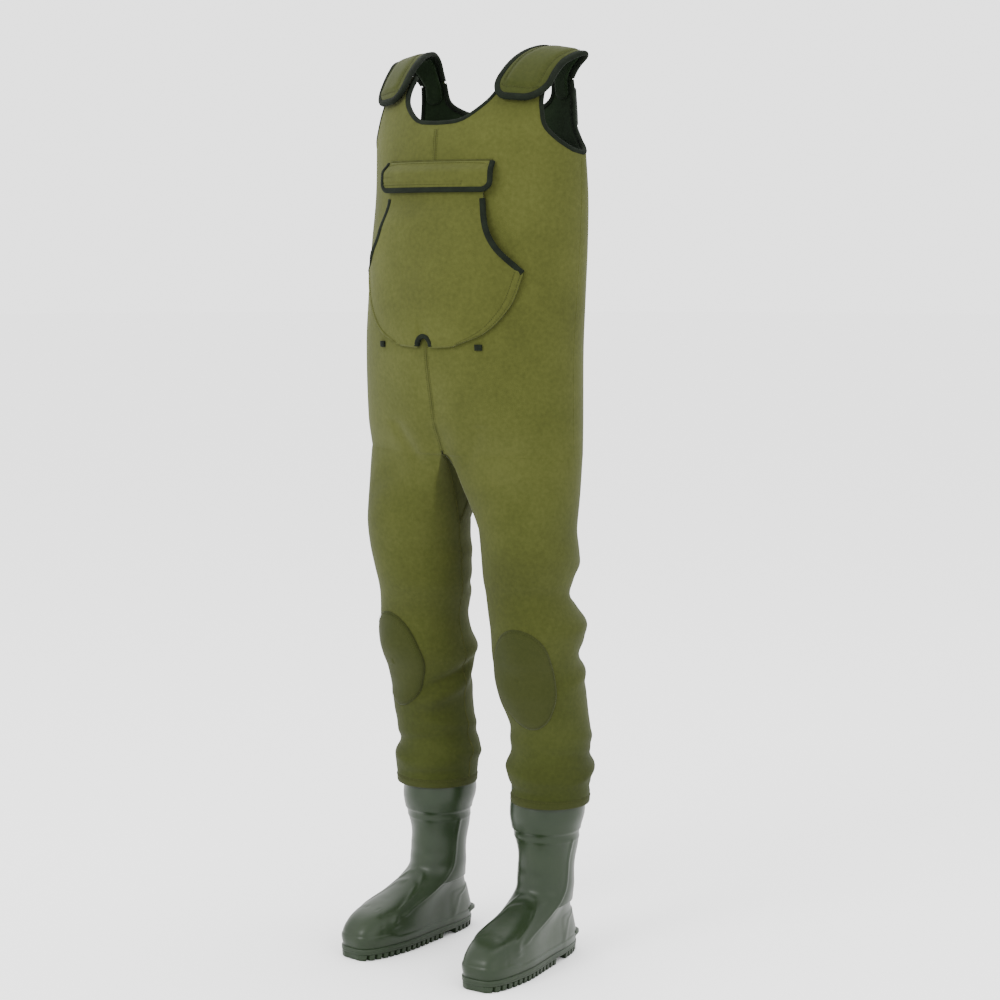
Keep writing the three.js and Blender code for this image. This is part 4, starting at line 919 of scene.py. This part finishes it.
def pouch_lift(across, row):
    """Inside face of the pouch over the chest. row: 0 to 5 down the hand opening, on to 10 at the bottom."""
    sewn = 2.8
    fill, close = smooth(row, 1, 2.5), smooth(row, 3.5, 5)
    upper = lerp(4.5, lerp(12.5, lerp(12.5, sewn, close), np.abs(across) ** 4), fill)
    below = (row - 5) / 5
    round_part = (1 - np.abs(across) ** 3) * (1 - np.clip(below, 0, 1) ** 2)
    return np.where(row <= 5, upper, lerp(sewn, 12.5, round_part))


def pouch_place(across, row, inset=0.0):
    k = np.clip(row / 10 * 80, 0, 80)
    half = np.interp(k, np.arange(81), pouch_side[:, 0])
    down = np.interp(k, np.arange(81), pouch_side[:, 1])
    level = lerp(POUCH_TOP, POUCH_BOTTOM, row / 10)
    x = across * (half - inset)
    notch = 16 * np.sqrt(np.maximum(0, 1 - (x / 12) ** 2)) * smooth(row, 7.5, 10) ** 1.5
    return x, lerp(level, down, across * across) - notch


def build_pouch():
    middle = np.sin(np.linspace(0, 1, 30) * math.pi / 2)
    close = np.array([0, 0.03, 0.06, 0.09, 0.12, 0.15, 0.18, 0.2, 0.215, 0.225, 0.235, 0.25, 0.28])
    half = np.concatenate([close, middle[middle > 0.3]])
    across = np.concatenate([-half[::-1], half[1:]])[None, :]
    row = np.concatenate([np.linspace(0, 9, 50), np.linspace(9, 10, 16)[1:]])[:, None]
    x, down = pouch_place(across, row)
    lift = pouch_lift(across, row)
    to_edge = (1 - np.abs(across)) * 120 + 0 * row
    piping = 1.7 * np.exp(-((to_edge - 5) / 2.6) ** 2) * smooth(row, 4.8, 5.6)
    piping = np.maximum(piping, 1.6 * np.exp(-(((10 - row) * 26 - 5) / 2.6) ** 2))
    waves = 1.3 * np.sin(x * 0.045 + 0.6) * np.sin(down * 0.035)
    soft = waves * (1 - np.abs(across) ** 2) * smooth(row, 2, 4)
    outer = chest_at(x, down, lift + POUCH_WALL + piping + soft * 0.6)
    inner = chest_at(x, down, lift)
    pouch = walled("pocket_pouch_cloth", outer, inner, [olive, lining], inner_slot=1)
    rides(pouch, "torso", "neoprene", "pocket_pouch")
    across = np.linspace(-1, 1, 25)[None, :]
    row = np.linspace(1, 9.6, 40)[:, None]
    x, down = pouch_place(across, row, 14)
    shorten = 1 - 24 / (POUCH_BOTTOM - POUCH_TOP)
    down = lerp(POUCH_TOP, down, shorten)
    one = np.ones_like(down)
    fleece = walled("pocket_fleece", chest_at(x, down, 1.8 + 0.5 * one), chest_at(x, down, 0.6 * one), lining)
    rides(fleece, "torso", "lining", "pocket_lining")
    for side, sign in SIDES.items():
        row_line = np.linspace(0.9, 4.97, 50)
        x, down = pouch_place(np.ones(50), row_line)
        lift = pouch_lift(np.ones(50), row_line)
        base = chest_at(x, down, lift)
        up = unit(chest_at(x, down, lift + 1) - base)
        out = unit(np.cross(unit(np.gradient(base, axis=0)), up))
        out = out * np.where(out[:, :1] < 0, -1, 1)
        base, up, out = (worn(v, sign) for v in (base, up, out))
        edging = swept(f"hand_opening_tape_{side}", base, out, up, binding_section(0, POUCH_WALL, 6), tape)
        rides(edging, "torso", "binding", f"pocket_hand_binding_{side}")
    turn = np.linspace(0.02, math.pi - 0.02, 30)
    x, down = 12 * np.cos(turn), POUCH_BOTTOM - 2 - 15 * np.sin(turn)
    base = chest_at(x, down, np.full(30, 2.8))
    up = unit(chest_at(x, down, np.full(30, 4.0)) - base)
    centre = chest_at(np.zeros(30), np.full(30, float(POUCH_BOTTOM)), np.full(30, 2.8))
    out = unit(np.cross(unit(np.gradient(base, axis=0)), up))
    out = out * np.where(np.sum(out * (centre - base), 1, keepdims=True) < 0, -1, 1)
    notch = swept("pocket_notch_tape", base, out, up, binding_section(0, POUCH_WALL + 1.2, 4.5), tape)
    rides(notch, "torso", "binding", "pocket_notch_binding")
    lines = []
    for inset in (2.2, 8.5):
        row_line = np.linspace(5.05, 9.93, 90)
        x, down = pouch_place(np.full(90, 1 - inset / 120), row_line)
        lift = pouch_lift(np.full(90, 1 - inset / 120), row_line)
        line = chest_at(x, down, lift + POUCH_WALL + 0.7)
        lines += [line, mirror(line)]
    rides(stitched("pocket_stitches", lines, 3.6, 2.7, 0.95), "torso", "neoprene")
    for side, sign in SIDES.items():
        across, j = np.linspace(-1, 1, 7)[None, :], np.linspace(0, 1, 7)[:, None]
        x = (95 - 3 * sign + 5.5 * across + 0 * j)
        down = POUCH_BOTTOM - 7 + 9 * j + 0 * across
        round_off = 2.2 * (1 - 0.5 * np.abs(across) ** 3) * (1 - 0.4 * j**3)
        outer, inner = chest_at(x, down, 2.0 + round_off), chest_at(x, down, 0.7 + 0 * round_off)
        tab = walled(f"tack_tab_{side}", worn(outer, sign), worn(inner, sign), tape)
        rides(tab, "torso", "binding", f"pocket_tack_tab_{side}")


FLAP_WALL, FLAP_LIFT = 3.5, 12.0


def flap_at(x, below, out):
    lift = lerp(1.2, FLAP_LIFT, smooth(below, 0, 18))
    return chest_at(x, FLAP_TOP + np.asarray(below, float), lift + out)


def flap_half(below):
    past = np.maximum(0, np.asarray(below, float) - (FLAP_LENGTH - 14))
    return FLAP_HALF_WIDTH - 14 + np.sqrt(np.maximum(0, 14**2 - past**2))


def build_flap():
    hinge = joints["pocket_flap_hinge"]["pos_m"]
    ends = ((0, 0, hinge[2] + 0.003), (0, 0, hinge[2] - 0.005))
    across = np.sin(np.linspace(-1, 1, 61) * math.pi / 2)[None, :]
    below = (FLAP_LENGTH * np.sin(np.linspace(0, 1, 26) * math.pi / 2) ** 1.05)[:, None]
    half = flap_half(below)
    x = across * half
    crown = 1.6 * np.sin(np.clip(below / FLAP_LENGTH, 0, 1) * math.pi) * (1 - across**6)
    box_line = np.exp(-((below - 32) / 1.1) ** 2) * (np.abs(x + 20) < 80)
    outer = flap_at(x, below, FLAP_WALL + crown - 1.2 * box_line)
    inner = flap_at(x, below, 0 * x)
    flap = walled("pocket_flap_cloth", outer, inner, [olive, lining], inner_slot=1)
    bends(flap, "torso", "flap", *ends, "neoprene", "pocket_flap")
    down = np.linspace(1.5, FLAP_LENGTH, 50)
    down[-8:] = FLAP_LENGTH - (FLAP_LENGTH - down[-8]) * np.linspace(1, 0, 8) ** 2
    half_line = np.stack([flap_half(down), down], 1)
    low = np.stack([np.linspace(FLAP_HALF_WIDTH - 14, 0, 40)[1:], np.full(39, float(FLAP_LENGTH))], 1)
    run = np.vstack([half_line, low])
    whole = respace(np.vstack([run, run[:-1][::-1] * [-1, 1]]), 180)
    inside = np.stack([whole[:, 0] * 0.8, np.full(len(whole), FLAP_LENGTH / 2)], 1)
    point, out, up = edge_frames(flap_at, whole, inside)
    edging = swept("pocket_flap_tape", point, out, up, binding_section(0, FLAP_WALL + 0.4, 5.0), tape)
    bends(edging, "torso", "flap", *ends, "binding", "pocket_flap_binding")
    corners = respace(np.array([[-98, 24.0], [59, 24.0], [59, 36.0], [-98, 36.0], [-98, 24.0]]), 150)
    box = flap_at(corners[:, 0], corners[:, 1], FLAP_WALL + 1.1)
    bends(stitched("flap_box_stitches", [box], 3.4, 2.6, 0.9), "torso", "flap", *ends, "neoprene")
    x = np.linspace(-97, 97, 120)
    arch = 2.5 + 3.5 * (np.abs(x) / 97) ** 6
    top = flap_at(x, arch, FLAP_WALL + 0.5 * np.ones(120))
    bends(stitched("flap_top_stitches", [top], 3.6, 2.7, 0.95), "torso", "flap", *ends, "neoprene")
    edge = chest_at(np.linspace(-99, 99, 120), FLAP_TOP - 1.0 + 0 * x, 0.4 * np.ones(120))
    up = unit(chest_at(np.linspace(-99, 99, 120), FLAP_TOP - 1.0 + 0 * x, 1.4 * np.ones(120)) - edge)
    rides(ridge("flap_top_seam", edge, up, 4.0, 1.6), "torso", "neoprene")


build_pouch()
build_flap()

# ---- seams, knee pads and hems -----------------------------------------------------------------


def ring_at(side, place, z, out=0.0):
    """A leg or pelvis face with its normal, the wearer's side applied."""
    place, z = np.broadcast_arrays(np.asarray(place, float), np.asarray(z, float))
    point = ring(side, place, z)
    da = ring(side, place + 0.002, z) - ring(side, place - 0.002, z)
    db = ring(side, place, z + 0.5) - ring(side, place, z - 0.5)
    n = unit(np.cross(da, db))
    return (point + n * out) * np.array([side, 1.0, 1.0]), n * np.array([side, 1.0, 1.0])


def bib_front(z, out):
    point = torso_at(np.zeros_like(z), z, out)
    low = smooth(z, VALLEY_TOP, VALLEY_MIDDLE) * 5
    point[:, 1] += low + np.where(z < VALLEY_MIDDLE, 6 * smooth(z, VALLEY_MIDDLE, VALLEY_LOW), 0)
    return point


def front_seams():
    up = np.array([[0, -1.0, 0]])
    high = np.linspace(SHOULDER + NECK_DEPTH - 9, SHOULDER - FLAP_TOP + 3, 30)
    low = np.linspace(SHOULDER - POUCH_BOTTOM + 14, CROTCH + 3, 70)
    back = np.linspace(SHOULDER + BACK_NECK_DEPTH - 9, CROTCH + 3, 130)
    for name, z in (("upper", high), ("lower", low)):
        path = bib_front(z, 0.0)
        rides(ridge(f"front_seam_{name}", path, np.repeat(up, len(z), 0), 2.6, 0.8), "torso", "neoprene")
        rows = [path + [s, -0.5, 0] for s in (-3.4, 3.4)]
        rides(stitched(f"front_seam_stitches_{name}", rows, 3.4, 2.4, 0.8), "torso", "neoprene")
    path = torso_at(np.full_like(back, 180.0), back, 0.0)
    rides(ridge("back_seam", path, np.repeat(-up, len(back), 0), 2.6, 0.8), "torso", "neoprene")
    rows = [path + [s, 0.5, 0] for s in (-3.4, 3.4)]
    rides(stitched("back_seam_stitches", rows, 3.4, 2.4, 0.8), "torso", "neoprene")
    for side, sign in SIDES.items():
        z = np.linspace(SHOULDER - ARMHOLE_DROP - 9, CROTCH + 3, 110)
        path = torso_at(np.full_like(z, 88.0), z, 0.0)
        ups = unit(torso_at(np.full_like(z, 88.0), z, 1.0) - path)
        path, ups = worn(path, sign), worn(ups, sign)
        rides(ridge(f"side_seam_{side}", path, ups, 1.8, 0.35, olive), "torso", "neoprene")


def leg_seams(side, sign):
    z = CROTCH - 116 * np.linspace(0.02, 1, 40) ** 1.4
    t = np.linspace(0, 1, 40)
    for name, near, far in (("front", 1.93, 1.52), ("back", 1.07, 1.48)):
        place = lerp(near, far, t**1.2)
        path, n = ring_at(sign, place, z)
        centre = np.array([sign * 110.0, -20, 0])
        facing = np.sum(n * (path - centre) * [1, 1, 0], 1, keepdims=True)
        n = n * np.where(facing < 0, -1, 1)
        at_hip(ridge(f"gusset_seam_{name}_{side}", path, n, 2.6, 0.9), side, "reinforcement")
        rows = [path + n * 0.6 + np.cross(unit(np.gradient(path, axis=0)), n) * s for s in (-3.2, 3.2)]
        at_hip(stitched(f"gusset_stitches_{name}_{side}", rows, 3.6, 2.6, 0.85), side, "reinforcement")
    thigh, shin = np.linspace(THIGH_TOP, 577, 40), np.linspace(573, 262, 90)
    for part, z, place in (("thigh", thigh, at_hip), ("shin", shin, at_knee)):
        path = leg(sign, np.full_like(z, -90.0), z)
        row = leg_section(z)
        n = unit(path - np.stack([row[:, 0], row[:, 1], z], 1))
        seam = ridge(f"inside_seam_{part}_{side}", path * [sign, 1, 1], n * [sign, 1, 1], 2.2, 0.7)
        place(seam, side, "neoprene")


def leg_face(sign, angle, z, out):
    point = leg(sign, angle, z)
    row = leg_section(np.asarray(z, float))
    axis = np.stack([row[..., 0], row[..., 1], np.broadcast_to(z, point.shape[:-1])], -1)
    da = leg(sign, angle + 0.5, z) - leg(sign, angle - 0.5, z)
    db = leg(sign, angle, z + 0.8) - leg(sign, angle, z - 0.8)
    n = unit(np.cross(da, db))
    n = n * np.where(np.sum(n * (point - axis), -1, keepdims=True) < 0, -1, 1)
    return (point + n * np.asarray(out)[..., None]) * np.array([sign, 1.0, 1.0])


PAD_PLACES = {1: (10.0, 468.0, 56.0, 82.0), -1: (15.0, 472.0, 58.0, 80.0)}


def knee_pad(side, sign):
    turn, level, half, tall = PAD_PLACES[sign]
    per_degree = 70 * math.pi / 180
    rings, spokes = 22, 72
    r = (np.linspace(0, 1, rings) ** 0.8)[:, None]
    phi = np.linspace(0, 2 * math.pi, spokes, endpoint=False)[None, :]
    egg = 1 + 0.05 * np.sin(phi)
    a = turn + r * half * egg * np.sin(phi) / per_degree
    z = level + r * tall * np.cos(phi)
    edge = (1 - r) * 60
    rise = 3.6 * smooth(edge, -0.5, 6) - 0.9 * np.exp(-((edge - 6) / 1.3) ** 2) + 1.6 * smooth(edge, 8, 40)
    dent = 0.8 * np.sin(a * 0.09 + z * 0.05) * smooth(edge, 6, 30)
    outer = leg_face(sign, a, z, 0.8 + rise + dent)
    inner = leg_face(sign, a, z, -1.5 * np.ones_like(rise))
    outer[0], inner[0] = outer[0].mean(0), inner[0].mean(0)
    pad = walled(f"knee_pad_cloth_{side}", outer, inner, patch_olive, closed=True)
    at_knee(pad, side, "reinforcement", f"knee_pad_{side}")
    phi = np.linspace(0, 2 * math.pi, 160)
    rows = []
    for inset in (2.2, 8.0):
        share = 1 - inset / 60
        aa = turn + share * half * (1 + 0.05 * np.sin(phi)) * np.sin(phi) / per_degree
        zz = level + share * tall * np.cos(phi)
        rows.append(leg_face(sign, aa, zz, np.full(160, 3.3 if inset < 5 else 3.9)))
    at_knee(stitched(f"knee_pad_stitches_{side}", rows, 3.8, 2.8, 0.95), side, "reinforcement")


def hem(side, sign):
    angle = np.arange(0, 360, 3.0)
    low, high = HEM_HEIGHT + 0.5, HEM_HEIGHT + 12
    rows = np.array([low - 2.2, low - 1, low + 1, high - 1.5, high])[:, None]
    out = np.array([0.2, 0.8, 1.1, 0.9, 0.1])[:, None]
    outer = leg_face(sign, angle[None, :] + 0 * rows, rows + 0 * angle[None, :], out + 0 * angle[None, :])
    depth = -5.6 + 0 * (rows + angle[None, :])
    inner = leg_face(sign, angle[None, :] + 0 * rows, rows + 0 * angle[None, :], depth)
    band = walled(f"hem_band_{side}", outer, inner, patch_olive, closed=True)
    rides(band, f"{side}_lower_leg", "reinforcement", f"hem_tape_{side}")
    line = leg_face(sign, np.linspace(0, 360, 200), np.full(200, high - 2.6), np.full(200, 1.1))
    rides(stitched(f"hem_stitches_{side}", [line], 3.8, 2.8, 0.95), f"{side}_lower_leg", "reinforcement")


front_seams()
for side, sign in SIDES.items():
    leg_seams(side, sign)
    knee_pad(side, sign)
    hem(side, sign)

# ---- boots -------------------------------------------------------------------------------------

SHAFT = BOOT_TOP - SOLE_THICKNESS
boot_section = curve([
    [0.00, 59, -206, 45, 0.55], [0.06, 60, -208, 47, 0.55], [0.12, 57, -202, 46, 0.58],
    [0.18, 54, -180, 45, 0.66], [0.24, 50, -122, 44, 0.82], [0.30, 48, -80, 45, 0.93],
    [0.36, 47, -56, 45, 1.0], [0.44, 47, -48, 45, 1.0],
    [0.58, 50, -46, 47, 1.0], [0.74, 56, -53, 54, 1.0], [0.82, 61, -57, 59, 1.0], [0.88, 61, -56, 59, 1.0],
    [0.93, 59, -53, 56, 1.0], [1.00, 59, -52, 56, 1.0]])


def boot_face(turn, z, grow=0.0):
    """The boot about its ankle, toe along -Y. turn: 0 at the toe, 90 outside."""
    turn, z = np.broadcast_arrays(np.asarray(turn, float), np.asarray(z, float))
    s, c = np.sin(np.radians(turn)), np.cos(np.radians(turn))
    row = boot_section((z - SOLE_THICKNESS) / SHAFT)
    back, front, half, square = (row[..., k] for k in range(4))
    back, front, half = back + grow, front - grow, half + grow
    y = (back + front) / 2 - (back - front) / 2 * np.sign(c) * np.abs(c) ** lerp(square, 1, 0.6)
    ball = (back - y) / (back - front)
    waist = np.where(square < 0.9, 0.86 + 0.14 * smooth(ball, 0.35, 0.7), 1)
    return np.stack([half * waist * np.sign(s) * np.abs(s) ** square, y, z], -1)


# Raised lines of the moulding, as places round the boot and heights, with half width and height.
BOOT_RIDGES = [
    ([(83, 197), (81, 160), (78, 120), (72, 88), (66, 62)], 2.6, 1.5),
    ([(0, 114), (20, 110), (38, 93), (52, 70), (60, 48)], 3.0, 1.3),
    ([(0, 101), (24, 96), (44, 77), (57, 56)], 2.6, 1.0),
    ([(180, 74), (150, 72), (128, 62), (116, 32)], 1.8, 0.9),
]


def line_distance(turn, z, path):
    best = np.full(turn.shape, 1e9)
    for (a0, z0), (a1, z1) in zip(path[:-1], path[1:]):
        dx, dz = (a1 - a0) * 0.85, z1 - z0
        px, pz = (turn - a0) * 0.85, z - z0
        t = np.clip((px * dx + pz * dz) / (dx * dx + dz * dz), 0, 1)
        best = np.minimum(best, np.hypot(px - t * dx, pz - t * dz))
    return best


def boot_relief(turn, z, point):
    side = np.abs((turn + 180) % 360 - 180)
    toe = smooth(-point[..., 1], TOE_REACH - 75, TOE_REACH - 50)
    out = 1.5 * smooth(z, 211, 213.5) + 0.8 * np.exp(-((z - 199) / 1.8) ** 2)
    out = out - 0.5 * np.exp(-((z - 207) / 2.2) ** 2)
    out += 1.3 * (1 - smooth(z, 30 + 7 * toe, 32 + 7 * toe))
    out += 0.9 * smooth(side, 112, 118) * (1 - smooth(z, 70, 74))
    for path, width, height in BOOT_RIDGES:
        out += height * np.exp(-(line_distance(side, z, path) / width) ** 2)
    out -= 0.8 * np.exp(-((point[..., 1] + 156 + 0.012 * point[..., 0] ** 2) / 1.6) ** 2) * (z > 36)
    out += 0.7 * np.sin(z * 0.21) * np.exp(-((z - 128) / 26) ** 2) * smooth(70 - side, 0, 40)
    out += 0.9 * np.sin(z * 0.09 + side * 0.03) * smooth(z, 95, 130)
    return out


def outline_half(y, grow):
    turn = np.linspace(0, 180, 400)
    p = boot_face(turn, np.full(400, float(SOLE_THICKNESS)), grow)
    order = np.argsort(p[:, 1])
    return np.interp(y, p[order, 1], p[order, 0]), p[:, 1].min(), p[:, 1].max()


def place_boot(points, sign):
    points = np.asarray(points, float) * [sign, 1, 1]
    turn = math.radians(FOOT_SPLAY * sign)
    c, s = math.cos(turn), math.sin(turn)
    x, y = points[..., 0], points[..., 1]
    return np.stack([x * c - y * s + sign * LEG_SPACING, x * s + y * c + ANKLE_SHIFT, points[..., 2]], -1)


def build_boot(side, sign):
    body = f"{side}_lower_leg"
    turn = np.arange(0, 360, 2.5)[None, :]
    z = np.concatenate([np.linspace(SOLE_THICKNESS, 112, 74), np.linspace(112, BOOT_TOP - 1.5, 74)[1:],
                        [BOOT_TOP - 0.4, BOOT_TOP]])
    z = z[:, None]
    face = boot_face(turn, z)
    around = np.roll(face, -1, 1) - np.roll(face, 1, 1)
    n = unit(np.cross(around, np.gradient(face, axis=0)))
    n = n * np.where(np.mean(np.sum(n * (face * [1, 1, 0]), -1)) < 0, -1, 1)
    round_rim = np.zeros(len(z))
    round_rim[-2:] = -0.4, -1.2
    outer = face + n * (boot_relief(turn + 0 * z, z + 0 * turn, face) + round_rim[:, None])[..., None]
    outer[..., 2] = np.maximum(outer[..., 2], SOLE_THICKNESS - 0.2)
    inner = face - n * 2.6
    inner[..., 2] = np.maximum(inner[..., 2], SOLE_THICKNESS)
    upper = walled(f"boot_moulding_{side}", place_boot(outer, sign), place_boot(inner, sign),
                   [boot_green, lining], closed=True, inner_slot=1)
    rides(upper, body, "boot_pvc", f"boot_upper_{side}")
    sleeve = z[:, 0] < BOOT_TOP - 2
    liner = walled(f"boot_liner_cloth_{side}", place_boot((face - n * 3.0)[sleeve], sign),
                   place_boot((face - n * 4.3)[sleeve], sign), lining, closed=True)
    rides(liner, body, "lining", f"boot_liner_{side}")
    turn = np.arange(0, 360, 3.0)
    rings = [(8.8, -8), (8.8, 0.4), (9.8, 2.4), (12.6, 3.2), (13.4, 2.5), (14.2, 3.2), (17.4, 3.2),
             (18.8, 2.2), (19.2, 0.6), (19.2, -8)]
    foot = np.full(len(turn), float(SOLE_THICKNESS))
    grid = np.stack([boot_face(turn, foot, grow) * [1, 1, 0] + [0, 0, height] for height, grow in rings])
    count = len(turn)
    faces = [list(f) for f in quads(len(rings), count, True)]
    faces += [list(range(count))[::-1], [(len(rings) - 1) * count + i for i in range(count)]]
    points = place_boot(grid.reshape(-1, 3), sign)
    if sign < 0:
        faces = [f[::-1] for f in faces]
    plate = make(f"outsole_plate_{side}", points, faces, sole_green)
    rides(plate, body, "sole_pvc", f"boot_sole_{side}")
    _, front, back = outline_half(0.0, 2.6)
    blocks, block_faces = [], []
    bars = [(y, y + 8.2, 0.0) for y in np.arange(front + 1, HEEL_REACH - 68 - 32, 12.0)]
    bars += [(y, y + 8.2, 0.0) for y in np.arange(HEEL_REACH - 62, back - 5, 11.8)]
    for y0, y1, floor in bars:
        y = np.linspace(y0, min(y1, back - 0.3), 6)
        half = outline_half(y, 2.6)[0]
        across = np.linspace(-1, 1, 13)
        top = np.stack([across[None, :] * half[:, None], y[:, None] + 0 * across[None, :],
                        np.full((6, 13), 9.4)], -1)
        middle_y = y.mean()
        low = top.copy()
        low[..., 0] *= 1 - 1.2 / np.maximum(half[:, None], 6)
        low[..., 1] = middle_y + (low[..., 1] - middle_y) * 0.84
        low[..., 2] = floor
        pts = np.concatenate([top.reshape(-1, 3), low.reshape(-1, 3)])
        q = quads(6, 13)
        n0 = 78
        ring_id = np.concatenate([np.arange(13), np.arange(1, 6) * 13 + 12, np.arange(11, -1, -1) + 65,
                                  np.arange(4, 0, -1) * 13])
        nxt = np.roll(ring_id, -1)
        f = np.concatenate([q, q[:, ::-1] + n0, np.stack([nxt, ring_id, ring_id + n0, nxt + n0], 1)])
        if volume(pts - pts.mean(0), f) < 0:
            f = f[:, ::-1]
        block_faces.append(f + sum(len(b) for b in blocks))
        blocks.append(pts)
    points, faces = np.concatenate(blocks), np.concatenate(block_faces)
    if sign < 0:
        faces = faces[:, ::-1]
    lugs = make(f"outsole_lugs_{side}", place_boot(points, sign), faces, sole_green, smoothed=False)
    edge = lugs.modifiers.new("edge", "BEVEL")
    edge.width, edge.segments, edge.limit_method, edge.angle_limit = 0.0009, 2, "ANGLE", math.radians(40)
    rides(lugs, body, "sole_pvc", f"heel_block_{side}")
    turn = np.linspace(180 - 37, 180 + 37, 25)
    base = boot_face(turn, np.full(25, 28.0), 1.0)
    out = unit(base * [1, 1, 0] - np.array([0, -5, 0]))
    out[:, 2] = 0
    reach = 1.0 + 8.5 * np.sin(np.linspace(0, math.pi, 25)) ** 0.6
    section = np.array([(-0.3, 0), (0.55, 0.3), (1, 2.4), (1, 6.0), (0.6, 8.2), (-0.3, 8.6)])
    across = section[None, :, :1] * reach[:, None, None]
    grid = base[:, None] + out[:, None] * across + np.array([0, 0, 1.0]) * (section[None, :, 1:] - 3)
    faces = [list(f) for f in quads(25, 6, True)] + [list(range(6))[::-1], [24 * 6 + i for i in range(6)]]
    points = place_boot(grid.reshape(-1, 3), sign)
    test = np.array([f for f in faces if len(f) == 4])
    if volume(points - points.mean(0), test) < 0:
        faces = [f[::-1] for f in faces]
    rides(make(f"kick_off_spur_{side}", points, faces, sole_green), body, "sole_pvc", f"heel_spur_{side}")


for side, sign in SIDES.items():
    build_boot(side, sign)

# ---- frame nodes that keep showing -------------------------------------------------------------

FINISH_OF = {"front_seam_tape": lining, "back_seam_tape": lining, "pocket_loop_tape": pile,
             "pocket_flap_hook_tape": pile}
for side in SIDES:
    FINISH_OF.update({f"strap_loop_patch_{side}": pile, f"strap_hook_patch_{side}": pile,
                      f"insole_{side}": pile})
for name, finish in FINISH_OF.items():
    for holder in frame["nodes"][name].material_slots:
        holder.material = finish

# ---- floor and light ---------------------------------------------------------------------------

floor_finish, _, _, floor_shader = finish_base("pale_floor", 0.9)
floor_shader.inputs["Base Color"].default_value = (0.97, 0.97, 0.97, 1)
floor_turn = np.linspace(0, 2 * math.pi, 96, endpoint=False)
floor_mesh = bpy.data.meshes.new("floor")
floor_ring = [(30 * math.cos(a), 30 * math.sin(a), -0.0005) for a in floor_turn]
floor_mesh.from_pydata(floor_ring, [], [list(range(96))])
floor_mesh.materials.append(floor_finish)
floor = bpy.data.objects.new("floor", floor_mesh)
scene.collection.objects.link(floor)

world = bpy.data.worlds.new("studio")
scene.world = world
world.use_nodes = True
world.node_tree.nodes["Background"].inputs["Color"].default_value = (1, 1, 1, 1)
world.node_tree.nodes["Background"].inputs["Strength"].default_value = 2.5


def soft_light(name, place, aim, size, power):
    data = bpy.data.lights.new(name, "AREA")
    data.shape, data.size, data.energy = "DISK", size, power
    lamp = bpy.data.objects.new(name, data)
    lamp.location = place
    lamp.rotation_euler = (Vector(aim) - Vector(place)).to_track_quat("-Z", "Y").to_euler()
    scene.collection.objects.link(lamp)


soft_light("key", (-0.6, -4.2, 3.0), (0, 0, 0.9), 2.2, 150)
soft_light("fill", (4.0, -1.2, 1.6), (0, 0, 0.8), 3.0, 25)
soft_light("above", (0.4, 0.6, 4.2), (0, 0, 0.8), 2.5, 60)
